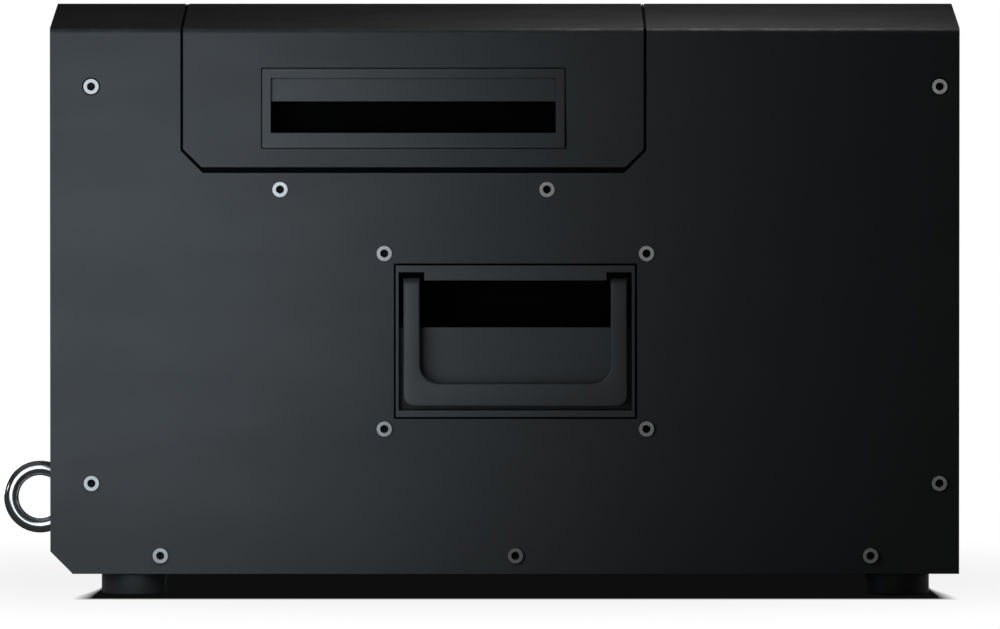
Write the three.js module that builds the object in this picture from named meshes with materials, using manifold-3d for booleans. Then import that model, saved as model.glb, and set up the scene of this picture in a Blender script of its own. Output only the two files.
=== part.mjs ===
// A stage flame machine: a folded steel casing on rubber feet, with a lift-off lid over its burner bay.
// Millimetres, +Z up. +X runs along the casing to its front end, and -Y is the near side.
// The origin is under the middle of the whole machine, on the surface that its feet stand on.
import * as THREE from "three";
import { mergeVertices } from "three/addons/utils/BufferGeometryUtils.js";
import Module from "manifold-3d";

const wasm = await Module();
wasm.setup();

// Fits
const fit = 0.3; // gap between pieces that touch
const overrun = 1; // how far a cutter runs past what it cuts
const roundSides = 20;
const smallSides = 12;
const countersinkSides = 24;
const bendSteps = 3;

// Casing
const casingLength = 420;
const casingDepth = 250;
const coverHeight = 252.5;
const coverSheet = 2;
const coverInnerBend = 0.5;
const coverChamfer = 10.4; // on the two low corners at the control end
const endRecess = 9.8; // how far the control panel sits inside the cover's end
const chassisSheet = 2;
const endFlange = 18.4; // side flanges of both end panels

// Base tray and feet
const trayFlange = 17;
const trayFlangeGap = 3; // between the tray's side flange and an end panel's
const footHeight = 10.5;
const footRadius = 15;
const footBevel = 1;
const footEndInset = 28.65; // from the chassis's end to a foot's middle
const footSideInset = 25; // from the cover's face to a foot's middle
const footStudRadius = 3;

// Lid over the burner bay
const lidFromControlEnd = 51.7; // from the chassis's end to the lid's
const lidDrop = 64.3; // from the top down to the lid's low edge
const lidChamfer = 10.4; // on the opening's low corners
const lidSideGap = 1.3;
const lidLowGap = 2.6;

// Finger pull in each side of the lid
const pullFromLidEnd = 36.4; // from either end of the lid to the frame
const pullBelowTop = 18.5; // from the top down to the frame
const pullAboveLow = 8.9; // from the lid's low edge up to the frame
const pullSideStrip = 4.2;
const pullTopStrip = 4.6;
const pullLowStrip = 7.2;
const pullBack = 2.2; // how far the frame's back edge reaches behind the lid
const pullDepth = 24;
const pullWall = 1.6;
const pullLipRecess = 3;
const pullLipSheet = 2;
const pullLipHeight = 10.9;

// Ledge that the lid's sides hang in front of, and that carries the burner pan
const ledgeEndGap = 8.8; // from the lid's end to the ledge's
const ledgeToPull = 1.4; // from the ledge's top up to the pull's back edge
const ledgeDrop = 20.7; // how far it reaches down behind the cover
const ledgeInward = 24.7;
const ledgeScrewInset = 35.9; // from the ledge's end
const ledgeScrewBelowLid = 10.2;

// Bulkheads beside the burner bay
const bulkheadSheet = 1.5;
const bulkheadFlange = 16;
const bulkheadSetback = 9.3; // from the lid's end out to the web's outer face
const leadHoleRadius = 5;

// Recessed handle in each side
const dishBelowLid = 45.3; // from the lid's low edge down to the dish's rim
const dishLength = 110.5;
const dishHeight = 70.2;
const dishGap = 0.9; // between the dish's rim and the cover
const dishFlangeX = 11.5; // how far the fastening flange reaches past the rim, lengthways
const dishFlangeZ = 11.9;
const dishFlangeSheet = 1.8;
const dishSideStrip = 1.4;
const dishTopStrip = 3.2;
const dishLowStrip = 3.1;
const dishWall = 2;
const dishBar = 3.8; // height of the bar between the two notches
const dishBarDepth = 2.6;
const notchGap = 1.85; // between the bar's end and the bail's arm
const dishToWeb = 0.3; // lengthways, from the dish's flange to the bulkhead
const shelfDepth = 10.5; // from the cover's face to the shallow floor
const pocketDepth = 36; // from the cover's face to the deep floor
const shelfHeight = 37.9;
const bailSideGap = 2.05;
const bailLowGap = 1.8;
const bailArm = 7.8;
const bailGrip = 10.65;
const bailThick = 8;
const bailSet = 0.5; // how far its face lies inside the cover's
const bailTopGap = 2.8;
const bailOuterCorner = 4.6;
const bailInnerCorner = 9;
const trunnionRadius = 1.8;
const trunnionBite = 1.9; // how far each trunnion reaches into the dish's wall

// Countersunk hexagon socket screws
const screwHeadRadius = 3.8;
const screwHeadHeight = 1.7;
const screwShankRadius = 2;
const screwSet = 0.1; // how far the head lies inside the cover's face
const screwSpare = 0.6; // from the head's edge out to its countersink's
const socketAcrossFlats = 3.2;
const socketDepth = 1.4;
const cornerScrewInset = 9.2;
const cornerScrewBelowTop = 26.9;
const cornerScrewAboveLow = 42;
const trayScrewInset = 41; // from the chassis's end
const trayScrewHeight = 8.5;
const dishScrewPastEnd = 5.3; // from the dish's rim out to its screws, lengthways
const dishScrewPastTop = 5.5;

// Lifting eye in the control panel, with its nut
const eyeHoleRadius = 10;
const eyeBar = 6.85;
const eyeSink = 0.45; // how far the ring runs into its collar's seat
const eyeHeight = 38.6;
const eyeCollarRadius = 10;
const eyeCollarHeight = 6;
const eyeShankRadius = 4;
const eyeShankLength = 15;
const eyeNutAcrossFlats = 13;
const eyeNutHeight = 6.5;
const ringSteps = 24;
const ringSides = 10;

// Burner pan, nozzle and electrodes
const panSideGap = 2; // from the pan's side to the ledge's shelf
const panFloorDrop = 78; // from the top of the casing down to the pan's underside
const panRimDrop = 7;
const panSheet = 1.5;
const panEndGap = 3.5; // from the pan to the bulkhead's flange
const panToCan = 8.7;
const panToPipe = 6.9;
const panWing = 10;
const nozzleFlangeRadius = 22;
const nozzleFlangeHeight = 4;
const nozzleTubeRadius = 13;
const nozzleTubeHeight = 38;
const nozzleTipRadius = 8;
const nozzleTipHeight = 10;
const nozzleBoreRadius = 5;
const nozzleBoreDepth = 30;
const spigotRadius = 6;
const spigotLength = 9;
const electrodeGap = 1; // from its collar to the nozzle's flange
const electrodeRadius = 4;
const electrodeCollarRadius = 7;
const electrodeCollarHeight = 3;
const electrodeAbove = 42;
const electrodeBelow = 12;
const electrodeTipRadius = 1.2;
const electrodeTipHeight = 9;
const electrodeTipReach = 14;

// Fuel cans, their cradle, and the valve above them
const canRadius = 32.5;
const canShoulder = 12;
const canCupRadius = 16;
const canStemRadius = 2;
const canStem = 12;
const canGap = 11; // between the two cans
const cradleWall = 2.5;
const cradleHeight = 26;
const cradleFloor = 5;
const cradleMargin = 3; // base around the rings
const bridgeLength = 24;
const bridgePastStem = 18; // from a can's stem out to the bridge's end
const bridgeHeight = 20;
const bridgeArmDepth = 30;
const bridgeArmHeight = 10;
const stemSeat = 9;
const coilRadius = 11;
const coilHeight = 18;
const valveBodyHeight = 8;
const valveBodySide = 22;
const valveHeadroom = 5.3; // from the coil up to the chassis's top
const fuelPipeRadius = 4;
const fuelPipeBend = 10;

// Ignition transformer, its lead, and the power supply
const transformerDepth = 60;
const transformerHeight = 50;
const transformerInset = 22; // from the bulkhead
const transformerEndGap = 32.6; // from the front panel
const transformerSideGap = 28.4;
const terminalRadius = 6;
const terminalHeight = 8;
const terminalInset = 20; // from the box's left end
const terminalOffset = 16; // from the box's middle towards the machine's
const leadRadius = 2.5;
const leadBend = 6;
const leadStraight = 1.5; // straight up to the electrode, after its last bend
const supplyDepth = 97;
const supplyHeight = 42;
const supplyInset = 12;
const supplyEndGap = 12.6;
const supplySideGap = 11.9;

// Control panel: the display, its buttons and the board behind them
const displayLength = 56;
const displayHeight = 24;
const displayInset = 26.7; // from the near side of the panel to the display's end
const controlsDrop = 49; // from the top of the casing down to the controls' middle
const displayProud = 1;
const displayLip = 3;
const displayLipSheet = 1.5;
const buttonRadius = 5;
const buttonProud = 3;
const buttonTravel = 1.2;
const buttonCollar = 1.5;
const buttonCollarSheet = 1;
const buttonStemRadius = 2;
const buttonToDisplay = 14; // from the display's end to the first button's middle
const buttonSpace = 2; // between two buttons' collars
const buttonCount = 4;
const boardGap = 5.8; // from the panel to the board
const boardSheet = 1.6;
const boardMargin = 8; // past the display's lip and past the last button
const boardHeight = 50;
const standoffRadius = 3;
const standoffInset = 5;

// Key switch
const keyInset = 30.7; // from the far side of the panel
const keyBezelRadius = 12;
const keyBezelHeight = 3.5;
const keyBodyRadius = 9.5;
const keyBodyLength = 26;
const keyRotorRadius = 6;
const keyRotorLength = 12;
const keyRotorProud = 0.8;
const keySlotLength = 8;
const keySlotWidth = 2;
const keySlotDepth = 8;

// Data sockets
const socketsDrop = 74; // from the controls' middle down to the sockets'
const dataInset = 28.7; // from the near side of the panel
const dataPitch = 36;
const dataFlangeLength = 26;
const dataFlangeHeight = 31;
const dataFlangeSheet = 1.8;
const dataFlangeCorner = 3;
const dataBodyRadius = 11.8;
const dataBodyLength = 22;
const dataBoreRadius = 9.4;
const dataBoreDepth = 15;
const dataPinRadius = 1.2;
const dataPinCircle = 4.6;
const dataPinSet = 5; // how far the pins' ends lie inside the mouth
const dataCoreGap = 1.3;
const dataHoleDepth = 8;
const dataPins = 5;

// Power inlet with its rocker switch, and the power outlet
const outletInset = 38.7; // from the far side of the panel
const outletPitch = 54;
const plateSheet = 2.2;
const plateMargin = 2.6;
const inletLength = 27;
const inletHeight = 58;
const inletBodyLength = 26;
const plugLength = 24;
const plugHeight = 17;
const plugDepth = 18;
const plugMiddle = 15; // below the inlet's centre
const plugCorner = 3.5;
const bladeLength = 4;
const bladeWidth = 1.8;
const bladeSet = 6; // how far the blades' ends lie inside the mouth
const bladePitch = 7;
const bladeRise = 2;
const rockerLength = 12;
const rockerHeight = 20;
const rockerMiddle = 14; // above the inlet's centre
const rockerProud = 2.6;
const rockerBack = 7;
const rockerPivotRadius = 1.5;
const rockerPivotBite = 1.6;
const rockerBackSpare = 1.5;
const rockerShoulderShare = 0.6; // of its half height, where the back starts to taper
const rockerSpare = 1.1; // room around the rocker, above and below
const rockerTilt = 7; // degrees to each side of level
const outletLength = 27;
const outletHeight = 22;
const slotLength = 5;
const slotWidth = 2.4;
const slotDepth = 12;

// Vents in the front end panel
const ventWidth = 3.2;
const ventLength = 44;
const ventPitch = 9;
const ventCount = 14;
const ventLowMiddle = 59.5; // above the cover's low edge
const ventHighDrop = 73; // below the top

// Places that follow from the sizes
const coverLeft = -casingLength / 2;
const coverRight = casingLength / 2;
const coverLow = footHeight;
const coverTop = coverLow + coverHeight;
const sideFace = casingDepth / 2;
const sideInner = sideFace - coverSheet;
const chassisLeft = coverLeft + endRecess;
const chassisRight = coverRight;
const chassisCentre = (chassisLeft + chassisRight) / 2;
const flangeOuter = sideInner - fit;
const flangeInner = flangeOuter - chassisSheet;
const bayHalf = flangeInner - fit;
const screwReach = sideFace - flangeInner; // from the cover's face to the inside of the flange behind it
const chassisTop = coverTop - coverSheet - fit;
const trayTop = coverLow + chassisSheet;
const chassisLow = trayTop + fit;
const dishFlangeEnd = chassisCentre + dishLength / 2 + dishFlangeX;
const rightWeb = dishFlangeEnd + dishToWeb + bulkheadSheet;
const lidRight = rightWeb - bulkheadSetback;
const lidLeft = chassisLeft + lidFromControlEnd;
const leftWeb = lidLeft - bulkheadSetback;
const lidCentre = (lidLeft + lidRight) / 2;
const lidLow = coverTop - lidDrop;
// A corner cut that leaves the side gap along the opening's chamfer as well
const lidCorner = lidChamfer - lidLowGap - lidSideGap + Math.SQRT2 * lidSideGap;
const pullTop = coverTop - pullBelowTop;
const pullLow = lidLow + pullAboveLow;
const pullHalf = (lidRight - lidLeft) / 2 - pullFromLidEnd;
const ledgeHalf = (lidRight - lidLeft) / 2 - ledgeEndGap;
const ledgeTop = pullLow - pullBack - ledgeToPull;
const dishTop = lidLow - dishBelowLid;
const dishLow = dishTop - dishHeight;
const dishScrewX = dishLength / 2 + dishScrewPastEnd;
const bailLow = dishLow + dishLowStrip + bailLowGap;
const bailTop = dishTop - dishTopStrip - bailTopGap;
const notchLength = bailSideGap + bailArm + notchGap;
const bailFace = sideFace - bailSet;
const bailAxisY = bailFace - bailThick / 2;
const bailAxisZ = bailTop - bailThick / 2;
const panelBack = chassisLeft + chassisSheet;
const panUnder = coverTop - panFloorDrop;
const panFloor = panUnder + panSheet;
const panRim = coverTop - panRimDrop;
const canSpacing = 2 * canRadius + canGap;
const bridgeDepth = canSpacing + 2 * bridgePastStem;
const cradleInner = canRadius + fit;
const cradleOuter = cradleInner + cradleWall;
const cradleHalf = cradleOuter + cradleMargin;
const canCentre = leftWeb + bulkheadFlange + fit + cradleHalf;
const canBase = chassisLow + cradleFloor + fit;
const pipeStart = canCentre + bridgeLength / 2 + fit;
const panLeft = canCentre + canRadius + panToCan;
const pipeDrop = panLeft - panToPipe - fuelPipeRadius;
const panRight = rightWeb - bulkheadFlange - panEndGap;
const panCentre = (panLeft + panRight) / 2;
const electrodeReach = nozzleFlangeRadius + electrodeGap + electrodeCollarRadius;
const bridgeTop = chassisTop - valveHeadroom - coilHeight - valveBodyHeight - fit;
const bridgeLow = bridgeTop - bridgeHeight;
const canBody = bridgeLow + stemSeat - canStem - canShoulder - canBase;
const transformerY = -(bayHalf - transformerSideGap - transformerDepth / 2);
const terminalY = transformerY + terminalOffset;
const supplyY = bayHalf - supplySideGap - supplyDepth / 2;
const controlsHeight = coverTop - controlsDrop;
const socketsHeight = controlsHeight - socketsDrop;
const displayY = -flangeInner + displayInset + displayLength / 2;
const keyY = flangeInner - keyInset;
const dataInY = -flangeInner + dataInset;
const dataOutY = dataInY + dataPitch;
const outletY = flangeInner - outletInset;
const inletY = outletY - outletPitch;
const boardFace = panelBack + boardGap;
const eyeReach = eyeHoleRadius + eyeBar - eyeSink; // from the panel to the middle of the ring
const eyeLeft = chassisLeft - eyeReach - eyeHoleRadius - eyeBar;

// Finishes
const finish = (color, roughness, metalness) => {
  return new THREE.MeshStandardMaterial({ color, roughness, metalness });
};
const blackCoat = finish(0x2e3132, 0.45, 0.0);
const zincSteel = finish(0x8d9295, 0.4, 1.0);
const blackFoot = finish(0x141414, 0.8, 0.0);
const polishedSteel = finish(0xc9ccce, 0.2, 1.0);
const stainless = finish(0xa9abac, 0.35, 1.0);
const brass = finish(0xb08d4c, 0.35, 1.0);
const ceramic = finish(0xe6e1d6, 0.5, 0.0);
const canPaint = finish(0xb7babc, 0.35, 0.6);
const blackPlastic = finish(0x1a1b1c, 0.5, 0.0);
const lensPlastic = finish(0x101a22, 0.15, 0.0);
const circuitBoard = finish(0x1f5a3a, 0.5, 0.0);
const redRubber = finish(0x8c1f1a, 0.6, 0.0);

// Shape helpers

// A three.js geometry as a solid that can be joined and cut.
function solid(geometry) {
  const bare = geometry.clone();
  bare.deleteAttribute("normal");
  bare.deleteAttribute("uv");
  const merged = mergeVertices(bare);
  return new wasm.Manifold(
    new wasm.Mesh({
      numProp: 3,
      vertProperties: merged.attributes.position.array,
      triVerts: new Uint32Array(merged.index.array),
    }),
  );
}

// A named mesh from a solid and a finish.
function mesh(name, body, material) {
  const faces = body.getMesh();
  const geometry = new THREE.BufferGeometry();
  geometry.setAttribute("position", new THREE.BufferAttribute(new Float32Array(faces.vertProperties), 3));
  geometry.setIndex(new THREE.BufferAttribute(new Uint32Array(faces.triVerts), 1));
  geometry.computeVertexNormals();
  const piece = new THREE.Mesh(geometry, material);
  piece.name = name;
  return piece;
}

const joined = (...bodies) => bodies.reduce((whole, body) => whole.add(body));
const cut = (body, ...tools) => tools.reduce((rest, tool) => rest.subtract(tool), body);

// A block between two opposite corners.
function block([x0, y0, z0], [x1, y1, z1]) {
  const geometry = new THREE.BoxGeometry(x1 - x0, y1 - y0, z1 - z0);
  geometry.translate((x0 + x1) / 2, (y0 + y1) / 2, (z0 + z1) / 2);
  return solid(geometry);
}

const xAxis = new THREE.Vector3(1, 0, 0);
const yAxis = new THREE.Vector3(0, 1, 0);
const zAxis = new THREE.Vector3(0, 0, 1);
const drawnInYZ = new THREE.Matrix4().makeBasis(yAxis, zAxis, xAxis);
const drawnInXZ = new THREE.Matrix4().makeBasis(xAxis, zAxis, yAxis.clone().negate());

// An outline pushed along X (drawn in Y and Z), along Y (drawn in X and Z) or along Z (drawn in X and Y).
function prism(outline, axis, from, to) {
  const options = { depth: to - from, bevelEnabled: false, curveSegments: bendSteps };
  const geometry = new THREE.ExtrudeGeometry(outline, options);
  if (axis === "x") geometry.applyMatrix4(drawnInYZ).translate(from, 0, 0);
  if (axis === "y") geometry.applyMatrix4(drawnInXZ).translate(0, to, 0);
  if (axis === "z") geometry.translate(0, 0, from);
  return solid(geometry);
}

const polygon = (points) => new THREE.Shape(points.map(([a, b]) => new THREE.Vector2(a, b)));

function rectangle(left, right, low, high) {
  return polygon([
    [left, low],
    [right, low],
    [right, high],
    [left, high],
  ]);
}

function roundedRectangle(left, right, low, high, corner) {
  const radius = Math.min(corner, (right - left) / 2, (high - low) / 2);
  const shape = new THREE.Shape();
  shape.absarc(right - radius, low + radius, radius, -Math.PI / 2, 0, false);
  shape.absarc(right - radius, high - radius, radius, 0, Math.PI / 2, false);
  shape.absarc(left + radius, high - radius, radius, Math.PI / 2, Math.PI, false);
  shape.absarc(left + radius, low + radius, radius, Math.PI, (3 * Math.PI) / 2, false);
  return shape;
}

// A regular hexagon, from its width across flats.
function hexagon(acrossFlats) {
  const corner = acrossFlats / Math.sqrt(3);
  const angles = Array.from({ length: 6 }, (_, i) => (i * Math.PI) / 3);
  return polygon(angles.map((angle) => [corner * Math.cos(angle), corner * Math.sin(angle)]));
}

// A profile of [radius, height] points, from low to high and closed on the axis, turned about that axis.
// The axis points along X, Y or Z; sense -1 points it the other way. The profile's height 0 is at the place.
function turned(profile, axis, place, sides, sense = 1) {
  const points = profile.map(([radius, height]) => new THREE.Vector2(radius, height));
  const geometry = new THREE.LatheGeometry(points, sides);
  if (sense < 0) geometry.rotateX(Math.PI);
  if (axis === "x") geometry.rotateZ(-Math.PI / 2);
  if (axis === "z") geometry.rotateX(Math.PI / 2);
  geometry.translate(...place);
  return solid(geometry);
}

// A round rod between two heights on its axis.
function rod(radius, from, to, axis, place, sides, sense = 1) {
  const profile = [
    [0, from],
    [radius, from],
    [radius, to],
    [0, to],
  ];
  return turned(profile, axis, place, sides, sense);
}

// The stretch of Y between two distances from the middle, on the near side (-1) or the far side (+1).
const band = (side, inner, outer) => (side < 0 ? [-outer, -inner] : [inner, outer]);

// A round tube of given radius along corner points, with every corner rounded to one bend radius.
function tube(corners, bend, radius, sides) {
  const path = new THREE.CurvePath();
  const points = corners.map((corner) => new THREE.Vector3(...corner));
  let from = points[0];
  for (let i = 1; i < points.length - 1; i++) {
    const into = points[i].clone().sub(points[i - 1]).normalize();
    const out = points[i + 1].clone().sub(points[i]).normalize();
    const start = points[i].clone().addScaledVector(into, -bend);
    const end = points[i].clone().addScaledVector(out, bend);
    path.add(new THREE.LineCurve3(from, start));
    path.add(new THREE.QuadraticBezierCurve3(start, points[i], end));
    from = end;
  }
  path.add(new THREE.LineCurve3(from, points[points.length - 1]));
  const section = new THREE.Shape();
  section.absarc(0, 0, radius, 0, 2 * Math.PI, false);
  const options = {
    extrudePath: path,
    steps: Math.round(path.getLength() / (2 * radius)),
    curveSegments: sides,
    bevelEnabled: false,
  };
  return solid(new THREE.ExtrudeGeometry(section, options));
}

// A folded channel with its open side down, drawn in Y and Z.
function channel(half, low, top, sheet, innerBend) {
  const outerBend = innerBend + sheet;
  const shape = new THREE.Shape();
  shape.moveTo(-half, low);
  shape.absarc(-half + outerBend, top - outerBend, outerBend, Math.PI, Math.PI / 2, true);
  shape.absarc(half - outerBend, top - outerBend, outerBend, Math.PI / 2, 0, true);
  shape.lineTo(half, low);
  shape.lineTo(half - sheet, low);
  shape.absarc(half - outerBend, top - outerBend, innerBend, 0, Math.PI / 2, false);
  shape.absarc(-half + outerBend, top - outerBend, innerBend, Math.PI / 2, Math.PI, false);
  shape.lineTo(-half + sheet, low);
  return shape;
}

// A rectangle with its two low corners cut off at 45 degrees.
function lowChamfered(left, right, low, high, chamfer) {
  return polygon([
    [left, low + chamfer],
    [left + chamfer, low],
    [right - chamfer, low],
    [right, low + chamfer],
    [right, high],
    [left, high],
  ]);
}

// Where the side screws are, as [x, z], by what they hold
const screwsOf = {
  corner: [
    [chassisLeft + cornerScrewInset, coverTop - cornerScrewBelowTop],
    [chassisRight - cornerScrewInset, coverTop - cornerScrewBelowTop],
    [chassisLeft + cornerScrewInset, coverLow + cornerScrewAboveLow],
    [chassisRight - cornerScrewInset, coverLow + cornerScrewAboveLow],
  ],
  ledge: [-1, 1].map((end) => [lidCentre + end * (ledgeHalf - ledgeScrewInset), lidLow - ledgeScrewBelowLid]),
  dish: [
    [chassisCentre - dishScrewX, dishTop + dishScrewPastTop],
    [chassisCentre + dishScrewX, dishTop + dishScrewPastTop],
    [chassisCentre - dishScrewX, dishLow - dishScrewPastTop],
    [chassisCentre + dishScrewX, dishLow - dishScrewPastTop],
  ],
  tray: [chassisLeft + trayScrewInset, chassisCentre, chassisRight - trayScrewInset].map((x) => [
    x,
    coverLow + trayScrewHeight,
  ]),
};

// A screw's countersunk hole through one side of the cover.
function countersink([x, z], side) {
  const shank = screwShankRadius + fit;
  const mouth = screwHeadRadius + screwSpare;
  const slope = (mouth - shank) / screwHeadHeight;
  const profile = [
    [0, -screwReach],
    [shank, -screwReach],
    [shank, -screwHeadHeight],
    [mouth, 0],
    [mouth + slope * overrun, overrun],
    [0, overrun],
  ];
  return turned(profile, "y", [x, side * sideFace, z], countersinkSides, side);
}

// Plain holes for a group of screws, through anything behind the cover.
const clearanceHoles = (places, side) =>
  places.map(([x, z]) => {
    const place = [x, side * sideFace, z];
    return rod(screwShankRadius + fit, -screwReach - overrun, 0, "y", place, smallSides, side);
  });

function screw([x, z]) {
  const length = screwReach - screwSet;
  const profile = [
    [0, -length],
    [screwShankRadius, -length],
    [screwShankRadius, -screwHeadHeight],
    [screwHeadRadius, 0],
    [0, 0],
  ];
  const place = [x, -sideFace + screwSet, z];
  const body = turned(profile, "y", place, smallSides, -1);
  const socket = prism(hexagon(socketAcrossFlats), "y", -overrun, socketDepth).translate(place);
  return cut(body, socket);
}

// The folded cover: the top and both long sides in one sheet.
function coverShell() {
  const sheet = prism(
    channel(sideFace, coverLow, coverTop, coverSheet, coverInnerBend),
    "x",
    coverLeft,
    coverRight,
  );
  const across = [-sideFace - overrun, sideFace + overrun];
  const corner = polygon([
    [coverLeft - overrun, coverLow - overrun],
    [coverLeft + coverChamfer + overrun, coverLow - overrun],
    [coverLeft - overrun, coverLow + coverChamfer + overrun],
  ]);
  const lidHole = lowChamfered(
    lidLeft - lidSideGap,
    lidRight + lidSideGap,
    lidLow - lidLowGap,
    coverTop + overrun,
    lidChamfer,
  );
  const dishHole = rectangle(
    chassisCentre - dishLength / 2 - dishGap,
    chassisCentre + dishLength / 2 + dishGap,
    dishLow - dishGap,
    dishTop + dishGap,
  );
  const screws = [-1, 1].flatMap((side) =>
    Object.values(screwsOf)
      .flat()
      .map((place) => countersink(place, side)),
  );
  const openings = [corner, lidHole, dishHole].map((outline) => prism(outline, "y", ...across));
  return cut(sheet, ...openings, ...screws);
}

// The floor, with a flange up each long side.
function baseTray() {
  const floor = block([chassisLeft, -flangeOuter, coverLow], [chassisRight, flangeOuter, trayTop]);
  const ends = endFlange + trayFlangeGap;
  const flanges = [-1, 1].map((side) => {
    const [y0, y1] = band(side, flangeInner, flangeOuter);
    return block(
      [chassisLeft + ends, y0, coverLow],
      [chassisRight - ends, y1, coverLow + trayFlange],
    );
  });
  const holes = [-1, 1].flatMap((side) => clearanceHoles(screwsOf.tray, side));
  const studs = footPlaces.map(([x, y]) => {
    const top = trayTop + overrun;
    return rod(footStudRadius + fit, coverLow - overrun, top, "z", [x, y, 0], smallSides);
  });
  return cut(joined(floor, ...flanges), ...holes, ...studs);
}

// An end panel: a web across the end and a flange inwards along each side. Inwards is +1 or -1 along X.
function endPanel(outerFace, inwards) {
  const back = outerFace + inwards * chassisSheet;
  const reach = outerFace + inwards * endFlange;
  const outline = polygon([
    [outerFace, -flangeOuter],
    [reach, -flangeOuter],
    [reach, -flangeInner],
    [back, -flangeInner],
    [back, flangeInner],
    [reach, flangeInner],
    [reach, flangeOuter],
    [outerFace, flangeOuter],
  ]);
  const holes = [-1, 1].flatMap((side) => clearanceHoles(screwsOf.corner, side));
  return cut(prism(outline, "z", chassisLow, chassisTop), ...holes);
}

// A cutter through the control panel, from an outline drawn in Y and Z.
const panelCut = (outline) => prism(outline, "x", chassisLeft - overrun, panelBack + overrun);
const panelHole = (radius, y, z) =>
  rod(radius, chassisLeft - overrun, panelBack + overrun, "x", [0, y, z], roundSides);

function rearPanel() {
  const display = rectangle(
    displayY - displayLength / 2 - fit,
    displayY + displayLength / 2 + fit,
    controlsHeight - displayHeight / 2 - fit,
    controlsHeight + displayHeight / 2 + fit,
  );
  const inlet = rectangle(
    inletY - inletLength / 2 - fit,
    inletY + inletLength / 2 + fit,
    socketsHeight - inletHeight / 2 - fit,
    socketsHeight + inletHeight / 2 + fit,
  );
  const outlet = rectangle(
    outletY - outletLength / 2 - fit,
    outletY + outletLength / 2 + fit,
    socketsHeight - outletHeight / 2 - fit,
    socketsHeight + outletHeight / 2 + fit,
  );
  return cut(
    endPanel(chassisLeft, 1),
    ...[display, inlet, outlet].map(panelCut),
    ...buttonPlaces.map((y) => panelHole(buttonRadius + fit, y, controlsHeight)),
    panelHole(keyBodyRadius + fit, keyY, controlsHeight),
    panelHole(dataBodyRadius + fit, dataInY, socketsHeight),
    panelHole(dataBodyRadius + fit, dataOutY, socketsHeight),
    panelHole(eyeShankRadius + fit, 0, eyeHeight),
  );
}

function frontPanel() {
  const slots = [coverLow + ventLowMiddle, coverTop - ventHighDrop].flatMap((z) =>
    Array.from({ length: ventCount }, (_, i) => {
      const y = (i - (ventCount - 1) / 2) * ventPitch;
      return block(
        [chassisRight - chassisSheet - overrun, y - ventWidth / 2, z - ventLength / 2],
        [chassisRight + overrun, y + ventWidth / 2, z + ventLength / 2],
      );
    }),
  );
  return cut(endPanel(chassisRight, -1), ...slots);
}

// A bulkhead: a web across the casing, with a flange at top and bottom towards the burner bay.
function bulkhead(outerFace, inwards, holes) {
  const back = outerFace + inwards * bulkheadSheet;
  const reach = outerFace + inwards * bulkheadFlange;
  const outline = polygon([
    [outerFace, chassisLow],
    [reach, chassisLow],
    [reach, chassisLow + bulkheadSheet],
    [back, chassisLow + bulkheadSheet],
    [back, chassisTop - bulkheadSheet],
    [reach, chassisTop - bulkheadSheet],
    [reach, chassisTop],
    [outerFace, chassisTop],
  ]);
  return cut(prism(outline, "y", -bayHalf, bayHalf), ...holes);
}

// The ledge behind one edge of the lid's opening: a leaf behind the cover, and a shelf inwards at its top.
function lidLedge(side) {
  const left = lidCentre - ledgeHalf;
  const right = lidCentre + ledgeHalf;
  const low = lidLow - ledgeDrop;
  const [leaf0, leaf1] = band(side, flangeInner, flangeOuter);
  const [shelf0, shelf1] = band(side, flangeOuter - ledgeInward, flangeOuter);
  const leaf = block([left, leaf0, low], [right, leaf1, ledgeTop]);
  const shelf = block([left, shelf0, ledgeTop - chassisSheet], [right, shelf1, ledgeTop]);
  return cut(joined(leaf, shelf), ...clearanceHoles(screwsOf.ledge, side));
}

// The lid: a folded sheet over the burner bay, with a finger pull in each side.
function lid() {
  const sheet = prism(
    channel(sideFace, lidLow, coverTop, coverSheet, coverInnerBend),
    "x",
    lidLeft,
    lidRight,
  );
  const across = [-sideFace - overrun, sideFace + overrun];
  const corners = [
    polygon([
      [lidLeft - overrun, lidLow - overrun],
      [lidLeft + lidCorner + overrun, lidLow - overrun],
      [lidLeft - overrun, lidLow + lidCorner + overrun],
    ]),
    polygon([
      [lidRight + overrun, lidLow - overrun],
      [lidRight + overrun, lidLow + lidCorner + overrun],
      [lidRight - lidCorner - overrun, lidLow - overrun],
    ]),
  ];
  const pullHole = rectangle(
    lidCentre - pullHalf - fit,
    lidCentre + pullHalf + fit,
    pullLow - fit,
    pullTop + fit,
  );
  return cut(sheet, ...[...corners, pullHole].map((outline) => prism(outline, "y", ...across)));
}

// A finger pull: a frame flush with the lid, a lip behind its upper half, and a cup behind the lip.
function lidPull(side) {
  const half = pullHalf;
  const opening = half - pullSideStrip;
  const openingLow = pullLow + pullLowStrip;
  const openingTop = pullTop - pullTopStrip;
  const slotTop = openingTop - pullLipHeight;
  const backFace = flangeOuter - chassisSheet;
  const lipFront = sideFace - pullLipRecess;
  const lipBack = lipFront - pullLipSheet;
  const cupBack = sideFace - pullDepth;
  const layer = (halfLength, low, high, inner, outer) => {
    const outline = rectangle(lidCentre - halfLength, lidCentre + halfLength, low, high);
    return prism(outline, "y", ...band(side, inner, outer));
  };
  const frame = layer(half, pullLow, pullTop, backFace, sideFace);
  const backEdge = layer(half + pullBack, pullLow - pullBack, pullTop + pullBack, backFace, flangeOuter);
  const cupTop = openingTop + pullWall;
  const cup = layer(opening + pullWall, openingLow - pullWall, cupTop, cupBack, backFace);
  const mouth = layer(opening, openingLow, openingTop, lipFront, sideFace + overrun);
  const slot = layer(opening, openingLow, slotTop, lipBack, lipFront);
  const hollow = layer(opening, openingLow, openingTop, cupBack + pullWall, lipBack);
  return cut(joined(frame, backEdge, cup), mouth, slot, hollow);
}

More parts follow.
